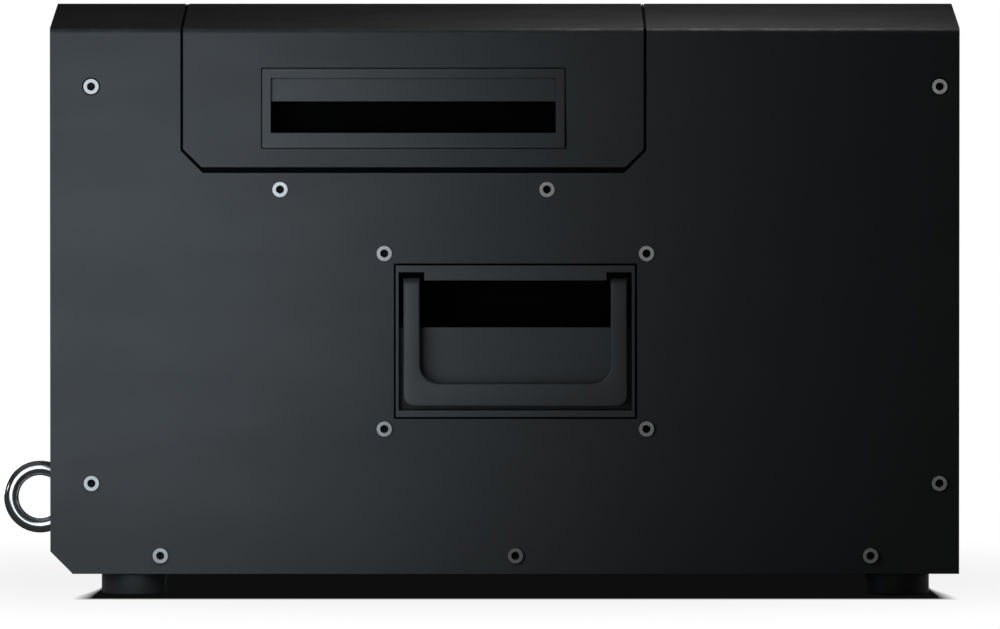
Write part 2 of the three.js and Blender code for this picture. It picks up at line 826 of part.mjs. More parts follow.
// The dish that a handle folds into: a rim flush with the cover, a flange behind the cover for four screws,
// a shallow shelf behind the grip and a deep pocket above it.
function handleDish(side) {
  const half = dishLength / 2;
  const inside = half - dishSideStrip;
  const insideLow = dishLow + dishLowStrip;
  const insideTop = dishTop - dishTopStrip;
  const shelfTop = insideLow + shelfHeight;
  const barLow = insideTop - dishBar;
  const flangeBack = flangeOuter - dishFlangeSheet;
  const shelfFace = sideFace - shelfDepth;
  const pocketFace = sideFace - pocketDepth;
  const layer = (halfLength, low, high, inner, outer) => {
    const outline = rectangle(chassisCentre - halfLength, chassisCentre + halfLength, low, high);
    return prism(outline, "y", ...band(side, inner, outer));
  };
  const rim = layer(half, dishLow, dishTop, flangeBack, sideFace);
  const flangeLow = dishLow - dishFlangeZ;
  const flange = layer(half + dishFlangeX, flangeLow, dishTop + dishFlangeZ, flangeBack, flangeOuter);
  const outside = inside + dishWall + trunnionBite;
  const tray = layer(outside, insideLow - dishWall, insideTop + dishWall, shelfFace - dishWall, flangeBack);
  const deep = [pocketFace - dishWall, flangeBack];
  const pocket = layer(outside, shelfTop - dishWall, insideTop + dishWall, ...deep);
  const shelfHollow = layer(inside, insideLow, shelfTop, shelfFace, sideFace + overrun);
  const pocketHollow = layer(inside, shelfTop, insideTop, pocketFace, sideFace + overrun);
  const barHalf = half - dishSideStrip - notchLength;
  const bar = layer(barHalf, barLow, insideTop + dishWall, sideFace - dishBarDepth, sideFace);
  const pivots = rod(
    trunnionRadius + fit,
    -inside - trunnionBite - fit,
    inside + trunnionBite + fit,
    "x",
    [chassisCentre, side * bailAxisY, bailAxisZ],
    smallSides,
  );
  const shell = cut(joined(rim, flange, tray, pocket), shelfHollow, pocketHollow, pivots);
  return cut(joined(shell, bar), ...clearanceHoles(screwsOf.dish, side));
}

// The bail: a flat U that hangs in its dish, with a trunnion out of each arm.
function handleBail(side) {
  const half = dishLength / 2 - dishSideStrip - bailSideGap;
  const left = chassisCentre - half;
  const right = chassisCentre + half;
  const high = bailTop + bailOuterCorner;
  const outer = roundedRectangle(left, right, bailLow, high + bailOuterCorner, bailOuterCorner);
  const inner = roundedRectangle(
    left + bailArm,
    right - bailArm,
    bailLow + bailGrip,
    high + bailOuterCorner + bailInnerCorner,
    bailInnerCorner,
  );
  const faces = band(side, bailFace - bailThick, bailFace);
  const flat = cut(
    prism(outer, "y", ...faces),
    prism(inner, "y", faces[0] - overrun, faces[1] + overrun),
  );
  const slab = new THREE.Shape();
  slab.moveTo(side * bailFace, bailLow - overrun);
  slab.lineTo(side * (bailFace - bailThick), bailLow - overrun);
  const turn = side < 0 ? [0, Math.PI, false] : [Math.PI, 0, true];
  slab.absarc(side * bailAxisY, bailAxisZ, bailThick / 2, ...turn);
  const sides = prism(slab, "x", left - overrun, right + overrun);
  const reach = half + bailSideGap + trunnionBite;
  const place = [chassisCentre, side * bailAxisY, bailAxisZ];
  const trunnions = [-1, 1].map((end) => {
    const span = [end * (half - bailArm / 2), end * reach].sort((a, b) => a - b);
    return rod(trunnionRadius, ...span, "x", place, smallSides);
  });
  return joined(flat.intersect(sides), ...trunnions);
}

// Rubber feet, each with a stud up through the tray
const footPlaces = [chassisLeft + footEndInset, chassisRight - footEndInset].flatMap((x) =>
  [-1, 1].map((side) => [x, side * (sideFace - footSideInset)]),
);

function foot([x, y]) {
  const top = footHeight - fit;
  const profile = [
    [0, 0],
    [footRadius - footBevel, 0],
    [footRadius, footBevel],
    [footRadius, top],
    [footStudRadius, top],
    [footStudRadius, trayTop],
    [0, trayTop],
  ];
  return turned(profile, "z", [x, y, 0], roundSides);
}

// The lifting eye: a ring in the X-Z plane on a collar, with a threaded shank through the panel.
function eyeBolt() {
  const ring = new THREE.TorusGeometry(eyeHoleRadius + eyeBar / 2, eyeBar / 2, ringSides, ringSteps);
  ring.rotateX(Math.PI / 2);
  ring.translate(chassisLeft - eyeReach, 0, eyeHeight);
  const seat = chassisLeft - fit;
  const shank = [
    [0, -eyeCollarHeight],
    [eyeCollarRadius - fit, -eyeCollarHeight],
    [eyeCollarRadius, -eyeCollarHeight + fit],
    [eyeCollarRadius, 0],
    [eyeShankRadius, 0],
    [eyeShankRadius, eyeShankLength],
    [0, eyeShankLength],
  ];
  const collar = turned(shank, "x", [seat, 0, eyeHeight], roundSides);
  const hole = rod(eyeHoleRadius, -eyeBar, eyeBar, "y", [chassisLeft - eyeReach, 0, eyeHeight], ringSteps);
  return joined(cut(collar, hole), solid(ring));
}

function eyeNut() {
  const from = panelBack + fit;
  const nut = prism(hexagon(eyeNutAcrossFlats), "x", from, from + eyeNutHeight);
  const boreEnds = [from - overrun, from + eyeNutHeight + overrun];
  const bore = rod(eyeShankRadius + fit, ...boreEnds, "x", [0, 0, 0], smallSides);
  return cut(nut, bore).translate([0, 0, eyeHeight]);
}

// The burner pan: an open stainless box that hangs between the two ledges by its wings.
function burnerPan() {
  const [x0, x1] = [panLeft, panRight];
  const half = flangeOuter - ledgeInward - panSideGap;
  const box = block([x0, -half, panUnder], [x1, half, panRim]);
  const hollow = block(
    [x0 + panSheet, -half + panSheet, panFloor],
    [x1 - panSheet, half - panSheet, panRim + overrun],
  );
  const wingLow = ledgeTop + fit;
  const wings = [-1, 1].map((side) => {
    const [y0, y1] = band(side, half - panSheet, half + panWing);
    return block([x0, y0, wingLow], [x1, y1, wingLow + panSheet]);
  });
  const holes = [
    rod(spigotRadius + fit, panUnder - overrun, panFloor + overrun, "z", [panCentre, 0, 0], roundSides),
    ...[-1, 1].map((side) => {
      const place = [panCentre, side * electrodeReach, 0];
      return rod(electrodeRadius + fit, panUnder - overrun, panFloor + overrun, "z", place, smallSides);
    }),
  ];
  return cut(joined(cut(box, hollow), ...wings), ...holes);
}

function nozzle() {
  const base = panFloor + fit;
  const tube = nozzleFlangeHeight + nozzleTubeHeight;
  const tip = tube + nozzleTipHeight;
  const profile = [
    [0, -spigotLength],
    [spigotRadius, -spigotLength],
    [spigotRadius, 0],
    [nozzleFlangeRadius, 0],
    [nozzleFlangeRadius, nozzleFlangeHeight],
    [nozzleTubeRadius, nozzleFlangeHeight],
    [nozzleTubeRadius, tube],
    [nozzleTipRadius, tip],
    [nozzleBoreRadius, tip],
    [nozzleBoreRadius, tip - nozzleBoreDepth],
    [0, tip - nozzleBoreDepth],
  ];
  return turned(profile, "z", [panCentre, 0, base], roundSides);
}

// An ignition electrode: a ceramic insulator through the pan's floor, with a wire that leans to the nozzle.
function electrode(side) {
  const collar = electrodeCollarHeight;
  const profile = [
    [0, -electrodeBelow],
    [electrodeRadius, -electrodeBelow],
    [electrodeRadius, 0],
    [electrodeCollarRadius, 0],
    [electrodeCollarRadius, collar],
    [electrodeRadius, collar],
    [electrodeRadius, electrodeAbove],
    [0, electrodeAbove],
  ];
  const y = side * electrodeReach;
  const base = panFloor + fit;
  const insulator = turned(profile, "z", [panCentre, y, base], smallSides);
  const start = base + electrodeAbove - collar;
  const knee = start + collar + electrodeTipHeight;
  const corners = [
    [panCentre, y, start],
    [panCentre, y, knee],
    [panCentre, y - side * electrodeTipReach, knee + electrodeTipHeight / 2],
  ];
  return joined(insulator, tube(corners, collar, electrodeTipRadius, 3));
}

const canPlaces = [-1, 1].map((side) => [canCentre, (side * canSpacing) / 2]);

function fuelCan([x, y]) {
  const shoulder = canBody + canShoulder;
  const profile = [
    [0, 0],
    [canRadius, 0],
    [canRadius, canBody],
    [canCupRadius, shoulder],
    [canStemRadius, shoulder],
    [canStemRadius, shoulder + canStem],
    [0, shoulder + canStem],
  ];
  return turned(profile, "z", [x, y, canBase], roundSides);
}

// The cradle: a base on the tray with a ring for each can.
function canCradle() {
  const halfY = canSpacing / 2 + cradleHalf;
  const floorTop = chassisLow + cradleFloor;
  const base = block(
    [canCentre - cradleHalf, -halfY, chassisLow],
    [canCentre + cradleHalf, halfY, floorTop],
  );
  const rings = canPlaces.map(([x, y]) => {
    return rod(cradleOuter, chassisLow, floorTop + cradleHeight, "z", [x, y, 0], roundSides);
  });
  const bores = canPlaces.map(([x, y]) => {
    return rod(cradleInner, floorTop, floorTop + cradleHeight + overrun, "z", [x, y, 0], roundSides);
  });
  return cut(joined(base, ...rings), ...bores);
}

// The valve bridge: a block that seats on both stems, on an arm from the bulkhead.
function valveBridge() {
  const left = canCentre - bridgeLength / 2;
  const bar = block(
    [left, -bridgeDepth / 2, bridgeLow],
    [left + bridgeLength, bridgeDepth / 2, bridgeTop],
  );
  const armLow = bridgeLow + (bridgeHeight - bridgeArmHeight) / 2;
  const arm = block(
    [leftWeb + bulkheadSheet + fit, -bridgeArmDepth / 2, armLow],
    [left + overrun, bridgeArmDepth / 2, armLow + bridgeArmHeight],
  );
  const seats = canPlaces.map(([x, y]) => {
    const top = bridgeLow + stemSeat + fit;
    return rod(canStemRadius + fit, bridgeLow - overrun, top, "z", [x, y, 0], smallSides);
  });
  return cut(joined(bar, arm), ...seats);
}

function solenoidValve() {
  const base = bridgeTop + fit;
  const half = valveBodySide / 2;
  const body = block([canCentre - half, -half, base], [canCentre + half, half, base + valveBodyHeight]);
  const top = valveBodyHeight + coilHeight;
  const coil = rod(coilRadius - fit, valveBodyHeight - fit, top, "z", [canCentre, 0, base], roundSides);
  return joined(body, coil);
}

// The fuel pipe: out of the bridge, down between the cans and the pan, and up into the nozzle's spigot.
function fuelPipe() {
  const high = bridgeLow + bridgeHeight / 2;
  const end = panFloor + fit - spigotLength - fit;
  const low = end - fuelPipeBend - fuelPipeRadius;
  const corners = [
    [pipeStart, 0, high],
    [pipeDrop, 0, high],
    [pipeDrop, 0, low],
    [panCentre, 0, low],
    [panCentre, 0, end],
  ];
  return tube(corners, fuelPipeBend, fuelPipeRadius, 4);
}

// Where the ignition lead starts, passes the bulkhead and ends
const transformerLeft = rightWeb + transformerInset;
const transformerRight = chassisRight - chassisSheet - transformerEndGap;
const terminalX = transformerLeft + terminalInset;
const leadEnd = panFloor - electrodeBelow;
const leadHeight = leadEnd - leadStraight - leadBend;
const leadY = -electrodeReach;

function ignitionTransformer() {
  const half = transformerDepth / 2;
  const top = chassisLow + transformerHeight;
  const box = block(
    [transformerLeft, transformerY - half, chassisLow],
    [transformerRight, transformerY + half, top],
  );
  const place = [terminalX, terminalY, top];
  const terminal = rod(terminalRadius, -overrun, terminalHeight, "z", place, smallSides);
  return joined(box, terminal);
}

function ignitionLead() {
  const start = chassisLow + transformerHeight + terminalHeight + fit;
  const corners = [
    [terminalX, terminalY, start],
    [terminalX, terminalY, leadHeight],
    [rightWeb + leadHoleRadius, leadY, leadHeight],
    [panCentre, leadY, leadHeight],
    [panCentre, leadY, leadEnd],
  ];
  return tube(corners, leadBend, leadRadius, 2);
}

function powerSupply() {
  const left = rightWeb + supplyInset;
  return block(
    [left, supplyY - supplyDepth / 2, chassisLow],
    [chassisRight - chassisSheet - supplyEndGap, supplyY + supplyDepth / 2, chassisLow + supplyHeight],
  );
}

// The display: a lens in the panel's cut-out, with a lip and its module behind the panel.
function displayWindow() {
  const layer = (grow, from, to) => {
    const outline = rectangle(
      displayY - displayLength / 2 - grow,
      displayY + displayLength / 2 + grow,
      controlsHeight - displayHeight / 2 - grow,
      controlsHeight + displayHeight / 2 + grow,
    );
    return prism(outline, "x", from, to);
  };
  const lipFront = panelBack + fit;
  const lens = layer(0, chassisLeft - displayProud, lipFront + displayLipSheet);
  const lip = layer(displayLip, lipFront, lipFront + displayLipSheet);
  const module = layer(-displayLip, lipFront, boardFace - fit);
  return joined(lens, lip, module);
}

const firstButton = displayY + displayLength / 2 + buttonToDisplay;
const buttonPitch = 2 * (buttonRadius + buttonCollar) + buttonSpace;
const buttonPlaces = Array.from({ length: buttonCount }, (_, i) => firstButton + i * buttonPitch);

function menuButton(y) {
  const collarFront = panelBack + fit;
  const collarBack = collarFront + buttonCollarSheet;
  const stemEnd = boardFace - fit - buttonTravel;
  const profile = [
    [0, chassisLeft - buttonProud],
    [buttonRadius - fit, chassisLeft - buttonProud],
    [buttonRadius, chassisLeft - buttonProud + fit],
    [buttonRadius, collarFront],
    [buttonRadius + buttonCollar, collarFront],
    [buttonRadius + buttonCollar, collarBack],
    [buttonStemRadius, collarBack],
    [buttonStemRadius, stemEnd],
    [0, stemEnd],
  ];
  return turned(profile, "x", [0, y, controlsHeight], smallSides);
}

function controlBoard() {
  const y0 = displayY - displayLength / 2 - displayLip - boardMargin;
  const y1 = buttonPlaces[buttonPlaces.length - 1] + boardMargin;
  const [z0, z1] = [controlsHeight - boardHeight / 2, controlsHeight + boardHeight / 2];
  const board = block([boardFace, y0, z0], [boardFace + boardSheet, y1, z1]);
  const standoffs = [y0 + standoffInset, y1 - standoffInset].flatMap((y) =>
    [z0 + standoffInset, z1 - standoffInset].map((z) => {
      return rod(standoffRadius, panelBack + fit, boardFace + boardSheet / 2, "x", [0, y, z], smallSides);
    }),
  );
  return joined(board, ...standoffs);
}

// The key switch: a barrel with its bezel on the panel, and the rotor that the key turns.
function keySwitchBarrel() {
  const face = chassisLeft - fit - keyBezelHeight;
  const seat = chassisLeft - fit;
  const boreEnd = face + keyRotorLength + fit;
  const profile = [
    [keyRotorRadius + fit, boreEnd],
    [keyRotorRadius + fit, face],
    [keyBezelRadius - fit, face],
    [keyBezelRadius, face + fit],
    [keyBezelRadius, seat],
    [keyBodyRadius, seat],
    [keyBodyRadius, seat + keyBodyLength],
    [0, seat + keyBodyLength],
  ];
  return turned([[0, boreEnd], ...profile], "x", [0, keyY, controlsHeight], roundSides);
}

function keyRotor() {
  const face = chassisLeft - fit - keyBezelHeight - keyRotorProud;
  const body = rod(
    keyRotorRadius,
    face,
    face + keyRotorProud + keyRotorLength,
    "x",
    [0, keyY, controlsHeight],
    roundSides,
  );
  const slot = block(
    [face - overrun, keyY - keySlotWidth / 2, controlsHeight - keySlotLength / 2],
    [face + keySlotDepth, keyY + keySlotWidth / 2, controlsHeight + keySlotLength / 2],
  );
  return cut(body, slot);
}

// Where a data socket's contacts stand, as [y, z] from its middle
const contactPlaces = Array.from({ length: dataPins }, (_, i) => {
  const angle = -Math.PI / 2 + ((i + 1) * 2 * Math.PI) / (dataPins + 1);
  return [dataPinCircle * Math.cos(angle), dataPinCircle * Math.sin(angle)];
});

// A round data socket: pins stand in its bore, or a core with holes fills it.
function dataSocket(y, hasPins) {
  const face = chassisLeft - fit - dataFlangeSheet;
  const seat = chassisLeft - fit;
  const outline = roundedRectangle(
    y - dataFlangeLength / 2,
    y + dataFlangeLength / 2,
    socketsHeight - dataFlangeHeight / 2,
    socketsHeight + dataFlangeHeight / 2,
    dataFlangeCorner,
  );
  const place = [0, y, socketsHeight];
  const flange = prism(outline, "x", face, seat);
  const barrel = rod(dataBodyRadius, face, seat + dataBodyLength, "x", place, roundSides);
  const bore = rod(dataBoreRadius, face - overrun, face + dataBoreDepth, "x", place, roundSides);
  const shell = cut(joined(flange, barrel), bore);
  const floor = face + dataBoreDepth + overrun;
  const contact = ([dy, dz], from, to) => {
    return rod(dataPinRadius, from, to, "x", [0, y + dy, socketsHeight + dz], smallSides / 2);
  };
  if (hasPins) return joined(shell, ...contactPlaces.map((at) => contact(at, face + dataPinSet, floor)));
  const core = rod(dataBoreRadius - dataCoreGap, face + fit, floor, "x", place, roundSides);
  const holes = contactPlaces.map((at) => contact(at, face - overrun, face + dataHoleDepth));
  return joined(shell, cut(core, ...holes));
}

// A rectangular socket body in the panel, with a plate over the edge of its cut-out.
function socketBody(y, length, height, depth) {
  const face = chassisLeft - fit - plateSheet;
  const seat = chassisLeft - fit;
  const layer = (grow, from, to) => {
    const outline = roundedRectangle(
      y - length / 2 - grow,
      y + length / 2 + grow,
      socketsHeight - height / 2 - grow,
      socketsHeight + height / 2 + grow,
      plateMargin / 2,
    );
    return prism(outline, "x", from, to);
  };
  return joined(layer(plateMargin, face, seat), layer(0, seat - fit, seat + depth));
}

const plateFace = chassisLeft - fit - plateSheet;
const rockerZ = socketsHeight + rockerMiddle;
const rockerAxisX = chassisLeft;
const pocketFloor = rockerAxisX + rockerBack + rockerBackSpare;

function powerInlet() {
  const plugZ = socketsHeight - plugMiddle;
  const recess = roundedRectangle(
    inletY - plugLength / 2,
    inletY + plugLength / 2,
    plugZ - plugHeight / 2,
    plugZ + plugHeight / 2,
    plugCorner,
  );
  const floor = plateFace + plugDepth;
  const plug = prism(recess, "x", plateFace - overrun, floor);
  const blades = [-1, 0, 1].map((place) => {
    const z = plugZ + (place === 0 ? bladeRise : -bladeRise);
    const y = inletY + place * bladePitch;
    return block(
      [plateFace + bladeSet, y - bladeWidth / 2, z - bladeLength / 2],
      [floor + overrun, y + bladeWidth / 2, z + bladeLength / 2],
    );
  });
  const pocket = block(
    [plateFace - overrun, inletY - rockerLength / 2 - fit, rockerZ - rockerHeight / 2 - rockerSpare],
    [pocketFloor, inletY + rockerLength / 2 + fit, rockerZ + rockerHeight / 2 + rockerSpare],
  );
  const pivotReach = rockerLength / 2 + rockerPivotBite + fit;
  const place = [rockerAxisX, inletY, rockerZ];
  const pivots = rod(rockerPivotRadius + fit, -pivotReach, pivotReach, "y", place, smallSides);
  const body = socketBody(inletY, inletLength, inletHeight, inletBodyLength);
  return joined(cut(body, plug, pocket, pivots), ...blades);
}

// The rocker: two flats at a shallow angle, pivoted between them, and resting with its low half pressed.
function powerRocker() {
  const front = rockerAxisX - plateSheet - rockerProud;
  const high = rockerHeight / 2;
  const shoulder = high * rockerShoulderShare;
  const dip = high * Math.tan((rockerTilt * Math.PI) / 180);
  const outline = polygon([
    [front, -high],
    [front + dip, 0],
    [front, high],
    [rockerAxisX + rockerPivotRadius + fit, shoulder],
    [rockerAxisX + rockerBack, 0],
    [rockerAxisX + rockerPivotRadius + fit, -shoulder],
  ]);
  const half = rockerLength / 2;
  const body = prism(outline, "y", -half, half);
  const pivotReach = half + rockerPivotBite;
  const pivot = rod(rockerPivotRadius, -pivotReach, pivotReach, "y", [rockerAxisX, 0, 0], smallSides);
  return joined(body, pivot);
}

function powerOutlet() {
  const slots = [-1, 0, 1].map((place) => {
    const z = socketsHeight + (place === 0 ? bladeRise : -bladeRise);
    const y = outletY + place * bladePitch;
    return block(
      [plateFace - overrun, y - slotWidth / 2, z - slotLength / 2],
      [plateFace + slotDepth, y + slotWidth / 2, z + slotLength / 2],
    );
  });
  return cut(socketBody(outletY, outletLength, outletHeight, inletBodyLength), ...slots);
}

// Assembly
const machine = new THREE.Group();
const add = (name, body, material) => machine.add(mesh(name, body, material));

add("cover_shell", coverShell(), blackCoat);
add("base_tray", baseTray(), zincSteel);
add("rear_panel", rearPanel(), blackCoat);
add("front_panel", frontPanel(), blackCoat);
add("lid", lid(), blackCoat);
const leadHole = rod(
  leadHoleRadius,
  rightWeb - bulkheadFlange,
  rightWeb + overrun,
  "x",
  [0, leadY, leadHeight],
  smallSides,
);
add("bulkhead_left", bulkhead(leftWeb, 1, []), zincSteel);
add("bulkhead_right", bulkhead(rightWeb, -1, [leadHole]), zincSteel);

for (const [label, side] of [
  ["near", -1],
  ["far", 1],
]) {
  add("lid_pull_" + label, lidPull(side), blackPlastic);
  add("lid_ledge_" + label, lidLedge(side), blackCoat);
  add("handle_dish_" + label, handleDish(side), blackCoat);
  add("handle_bail_" + label, handleBail(side), blackCoat);
  add("electrode_" + label, electrode(side), ceramic);
}

footPlaces.forEach((place, i) => {
  const end = i < 2 ? "rear" : "front";
  const side = i % 2 === 0 ? "near" : "far";
  add("foot_" + end + "_" + side, foot(place), blackFoot);
});

for (const [use, places] of Object.entries(screwsOf)) {
  places.forEach((place, i) => add("screw_" + use + "_" + (i + 1), screw(place), polishedSteel));
}

add("eye_bolt", eyeBolt(), polishedSteel);
add("eye_nut", eyeNut(), zincSteel);

add("burner_pan", burnerPan(), stainless);
add("nozzle", nozzle(), brass);
add("fuel_can_near", fuelCan(canPlaces[0]), canPaint);
add("fuel_can_far", fuelCan(canPlaces[1]), canPaint);
add("can_cradle", canCradle(), blackPlastic);
add("valve_bridge", valveBridge(), brass);
add("solenoid_valve", solenoidValve(), blackPlastic);
add("fuel_pipe", fuelPipe(), stainless);

add("ignition_transformer", ignitionTransformer(), blackPlastic);
add("ignition_lead", ignitionLead(), redRubber);
add("power_supply", powerSupply(), zincSteel);

add("control_board", controlBoard(), circuitBoard);
add("display_window", displayWindow(), lensPlastic);
buttonPlaces.forEach((y, i) => add("menu_button_" + (i + 1), menuButton(y), blackPlastic));
add("key_switch_barrel", keySwitchBarrel(), polishedSteel);
add("key_rotor", keyRotor(), polishedSteel);
add("data_in", dataSocket(dataInY, true), zincSteel);
add("data_out", dataSocket(dataOutY, false), zincSteel);
add("power_inlet", powerInlet(), blackPlastic);
add("power_outlet", powerOutlet(), blackPlastic);

const rocker = mesh("power_rocker", powerRocker(), blackPlastic);
rocker.geometry.translate(-rockerAxisX, 0, 0);
rocker.rotation.y = (-rockerTilt * Math.PI) / 180;
rocker.position.set(rockerAxisX, inletY, rockerZ);
machine.add(rocker);

machine.position.x = -(eyeLeft + coverRight) / 2;

export default machine;
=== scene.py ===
"""A stage flame machine: a folded black steel casing with a lift-off lid, on four rubber feet.

Everything is in metres in the row frame: +Z up, +X along the casing to its plain end, -Y the near side.
Sheet parts keep the solid's own faces and get rounded edges. Turned, swept and moulded parts are
surfaces worked out here from the place and size of the solid that they stand for.
"""

import math

import bmesh
import bpy
import numpy as np
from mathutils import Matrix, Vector


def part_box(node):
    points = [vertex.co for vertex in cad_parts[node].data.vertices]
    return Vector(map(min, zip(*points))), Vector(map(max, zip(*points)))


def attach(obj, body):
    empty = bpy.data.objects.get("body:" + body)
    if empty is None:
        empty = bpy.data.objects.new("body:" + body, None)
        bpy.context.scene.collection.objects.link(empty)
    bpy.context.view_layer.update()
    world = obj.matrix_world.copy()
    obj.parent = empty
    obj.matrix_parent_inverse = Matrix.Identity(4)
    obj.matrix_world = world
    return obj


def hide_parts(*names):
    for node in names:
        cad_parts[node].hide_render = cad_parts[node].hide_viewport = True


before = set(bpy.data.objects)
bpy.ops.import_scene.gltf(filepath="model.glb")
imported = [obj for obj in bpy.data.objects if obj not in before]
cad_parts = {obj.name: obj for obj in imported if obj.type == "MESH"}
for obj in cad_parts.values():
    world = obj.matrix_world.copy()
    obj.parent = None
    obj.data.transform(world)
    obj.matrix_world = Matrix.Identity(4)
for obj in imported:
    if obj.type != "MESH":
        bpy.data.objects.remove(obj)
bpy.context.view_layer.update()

MM = 0.001
AROUND = 72  # points round a turned piece, which four and six divide
SIDES = {"near": -1, "far": 1}
SEAM = 1e-6  # points nearer together than this are one
LEAST_CORNER = 1e-5
BEND_STEPS = 10
FLAT_ANGLE = math.radians(0.5)  # faces that turn less than this are joined
EDGE_SEGMENTS = 2
SHARP_ANGLE = math.radians(35)  # edges that turn more than this are rounded or stay sharp

# Shapes

# The two coordinates that take an outline's width and height, and the one along the axis
AXES = {"x": (1, 2, 0), "y": (0, 2, 1), "z": (0, 1, 2)}
ANGLES = np.linspace(0, 2 * math.pi, AROUND, endpoint=False)


def circle(radius):
    """Points round a circle: the radius times the cosine and sine of each angle."""
    return radius * np.stack([np.cos(ANGLES), np.sin(ANGLES)], 1)


def hexagon(across_flats, turn=0.0):
    """A regular hexagon: half the width over its flats, divided by the cosine of the angle from the
    nearest flat's middle."""
    from_flat = (ANGLES - turn + math.pi / 6) % (math.pi / 3) - math.pi / 6
    return circle(1) * (across_flats / 2 / np.cos(from_flat))[:, None]


def rounded_rectangle(width, height, corner):
    """A corner arc's point, moved out to the corner that its angle belongs to."""
    out = np.array([width / 2 - corner, height / 2 - corner])
    return circle(corner) + np.sign(np.round(circle(1), 6)) * out


def stack(axis, place, profile):
    """Loops along an axis, one for each [outline or radius, height] of the profile, moved to the place."""
    first, second, along = AXES[axis]
    loops = np.zeros((len(profile), AROUND, 3))
    for loop, (outline, height) in zip(loops, profile):
        flat = circle(outline) if np.isscalar(outline) else outline
        loop[:, first] = flat[:, 0]
        loop[:, second] = flat[:, 1]
        loop[:, along] = height
    return loops + np.array(place)


def surface(name, loops, ring=False):
    """A closed mesh through a stack of loops. Quads join each loop to the next, and the last to the first
    if it is a ring. Points that fall together are merged, so a loop of no size closes its end."""
    rows, count = loops.shape[:2]
    row = np.arange(rows if ring else rows - 1)[:, None]
    column = np.arange(count)[None, :]
    after = (row + 1) % rows
    right = (column + 1) % count
    corners = [row * count + column, row * count + right, after * count + right, after * count + column]
    faces = np.stack(np.broadcast_arrays(*corners), -1).reshape(-1, 4)
    mesh = bpy.data.meshes.new(name)
    mesh.from_pydata(loops.reshape(-1, 3).tolist(), [], faces.tolist())
    return cleaned(mesh)


def cleaned(mesh, flat=False):
    """The mesh with its doubles merged and its faces turned outwards. Flat areas are joined into one face."""
    work = bmesh.new()
    work.from_mesh(mesh)
    bmesh.ops.remove_doubles(work, verts=work.verts, dist=SEAM)
    if flat:
        bmesh.ops.dissolve_limit(work, angle_limit=FLAT_ANGLE, verts=work.verts, edges=work.edges)
    bmesh.ops.recalc_face_normals(work, faces=work.faces)
    work.to_mesh(mesh)
    work.free()
    return mesh


def turned(name, axis, place, profile):
    """A solid of revolution from [radius, height] points, closed on the axis at both ends."""
    ends = [[0, profile[0][1]], [0, profile[-1][1]]]
    return surface(name, stack(axis, place, [ends[0], *profile, ends[1]]))


def ring(name, axis, place, profile):
    """A closed band: its section's [outline or radius, height] points run once round the band's middle."""
    return surface(name, stack(axis, place, profile), ring=True)


def block(name, low, high, corner=0.0, axis="z"):
    """A box between two corners, with its four edges along the axis rounded."""
    low, high = np.array(low), np.array(high)
    first, second, along = AXES[axis]
    size = high - low
    place = (low + high) / 2
    outline = rounded_rectangle(size[first], size[second], max(corner, LEAST_CORNER))
    half = size[along] / 2
    return surface(name, stack(axis, place, [[0, -half], [outline, -half], [outline, half], [0, half]]))


def rounded_path(corners, bend):
    """Points along straight runs whose corners are quarter-like arcs: a weighted mean of the arc's start,
    the corner and the arc's end."""
    corners = np.array(corners, float)
    into = np.diff(corners, axis=0)
    into /= np.linalg.norm(into, axis=1)[:, None]
    start = corners[1:-1] - bend * into[:-1]
    end = corners[1:-1] + bend * into[1:]
    t = np.linspace(0, 1, BEND_STEPS)[None, :, None]
    arcs = (1 - t) ** 2 * start[:, None] + 2 * t * (1 - t) * corners[1:-1, None] + t**2 * end[:, None]
    return np.concatenate([corners[:1], arcs.reshape(-1, 3), corners[-1:]])


def swept(name, path, radius, aside, sides=20):
    """A round tube along a path: circles square to it, measured from the direction aside, which the path
    never follows."""
    along = np.gradient(path, axis=0)
    along /= np.linalg.norm(along, axis=1)[:, None]
    first = np.cross(along, aside)
    first /= np.linalg.norm(first, axis=1)[:, None]
    second = np.cross(along, first)
    angle = np.linspace(0, 2 * math.pi, sides, endpoint=False)[None, :, None]
    loops = path[:, None] + radius * (np.cos(angle) * first[:, None] + np.sin(angle) * second[:, None])
    ends = [np.repeat(path[i][None], sides, 0)[None] for i in (0, -1)]
    return surface(name, np.concatenate([ends[0], loops, ends[1]]))


def solid_faces(node):
    """A copy of a CAD node's mesh with its doubles merged and its flat areas joined."""
    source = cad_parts[node].data
    points = np.empty(len(source.vertices) * 3, np.float32)
    corners = np.empty(len(source.loops), np.int32)
    source.vertices.foreach_get("co", points)
    source.loops.foreach_get("vertex_index", corners)
    mesh = bpy.data.meshes.new(node + "_finished")
    mesh.from_pydata(points.reshape(-1, 3).tolist(), [], corners.reshape(-1, 3).tolist())
    return cleaned(mesh, flat=True)


def in_scene(name, data):
    """A new object in the scene."""
    thing = bpy.data.objects.new(name, data)
    bpy.context.scene.collection.objects.link(thing)
    return thing


def add_piece(mesh, material, replaces=(), edge=0.0, body="casing"):
    """Puts a mesh in the scene as a piece of the object: its finish, the solids that it stands for, its
    rounded edges and the body it rides on."""
    piece = in_scene(mesh.name, mesh)
    mesh.materials.append(material)
    mesh.shade_smooth()
    if edge:
        bevel = piece.modifiers.new("rounded edges", "BEVEL")
        bevel.width = edge
        bevel.segments = EDGE_SEGMENTS
        bevel.limit_method = "ANGLE"
        bevel.angle_limit = SHARP_ANGLE
        bevel.harden_normals = True
    else:
        mesh.set_sharp_from_angle(angle=SHARP_ANGLE)
    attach(piece, body)
    if replaces:
        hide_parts(*replaces)
    return piece


def placed(node):
    """A solid's two corners and its middle."""
    low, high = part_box(node)
    return low, high, np.array((low + high) / 2)


def in_mm(points):
    """Points given in millimetres, as [radius or width, height]."""
    return [[across * MM, height * MM] for across, height in points]


# Finishes


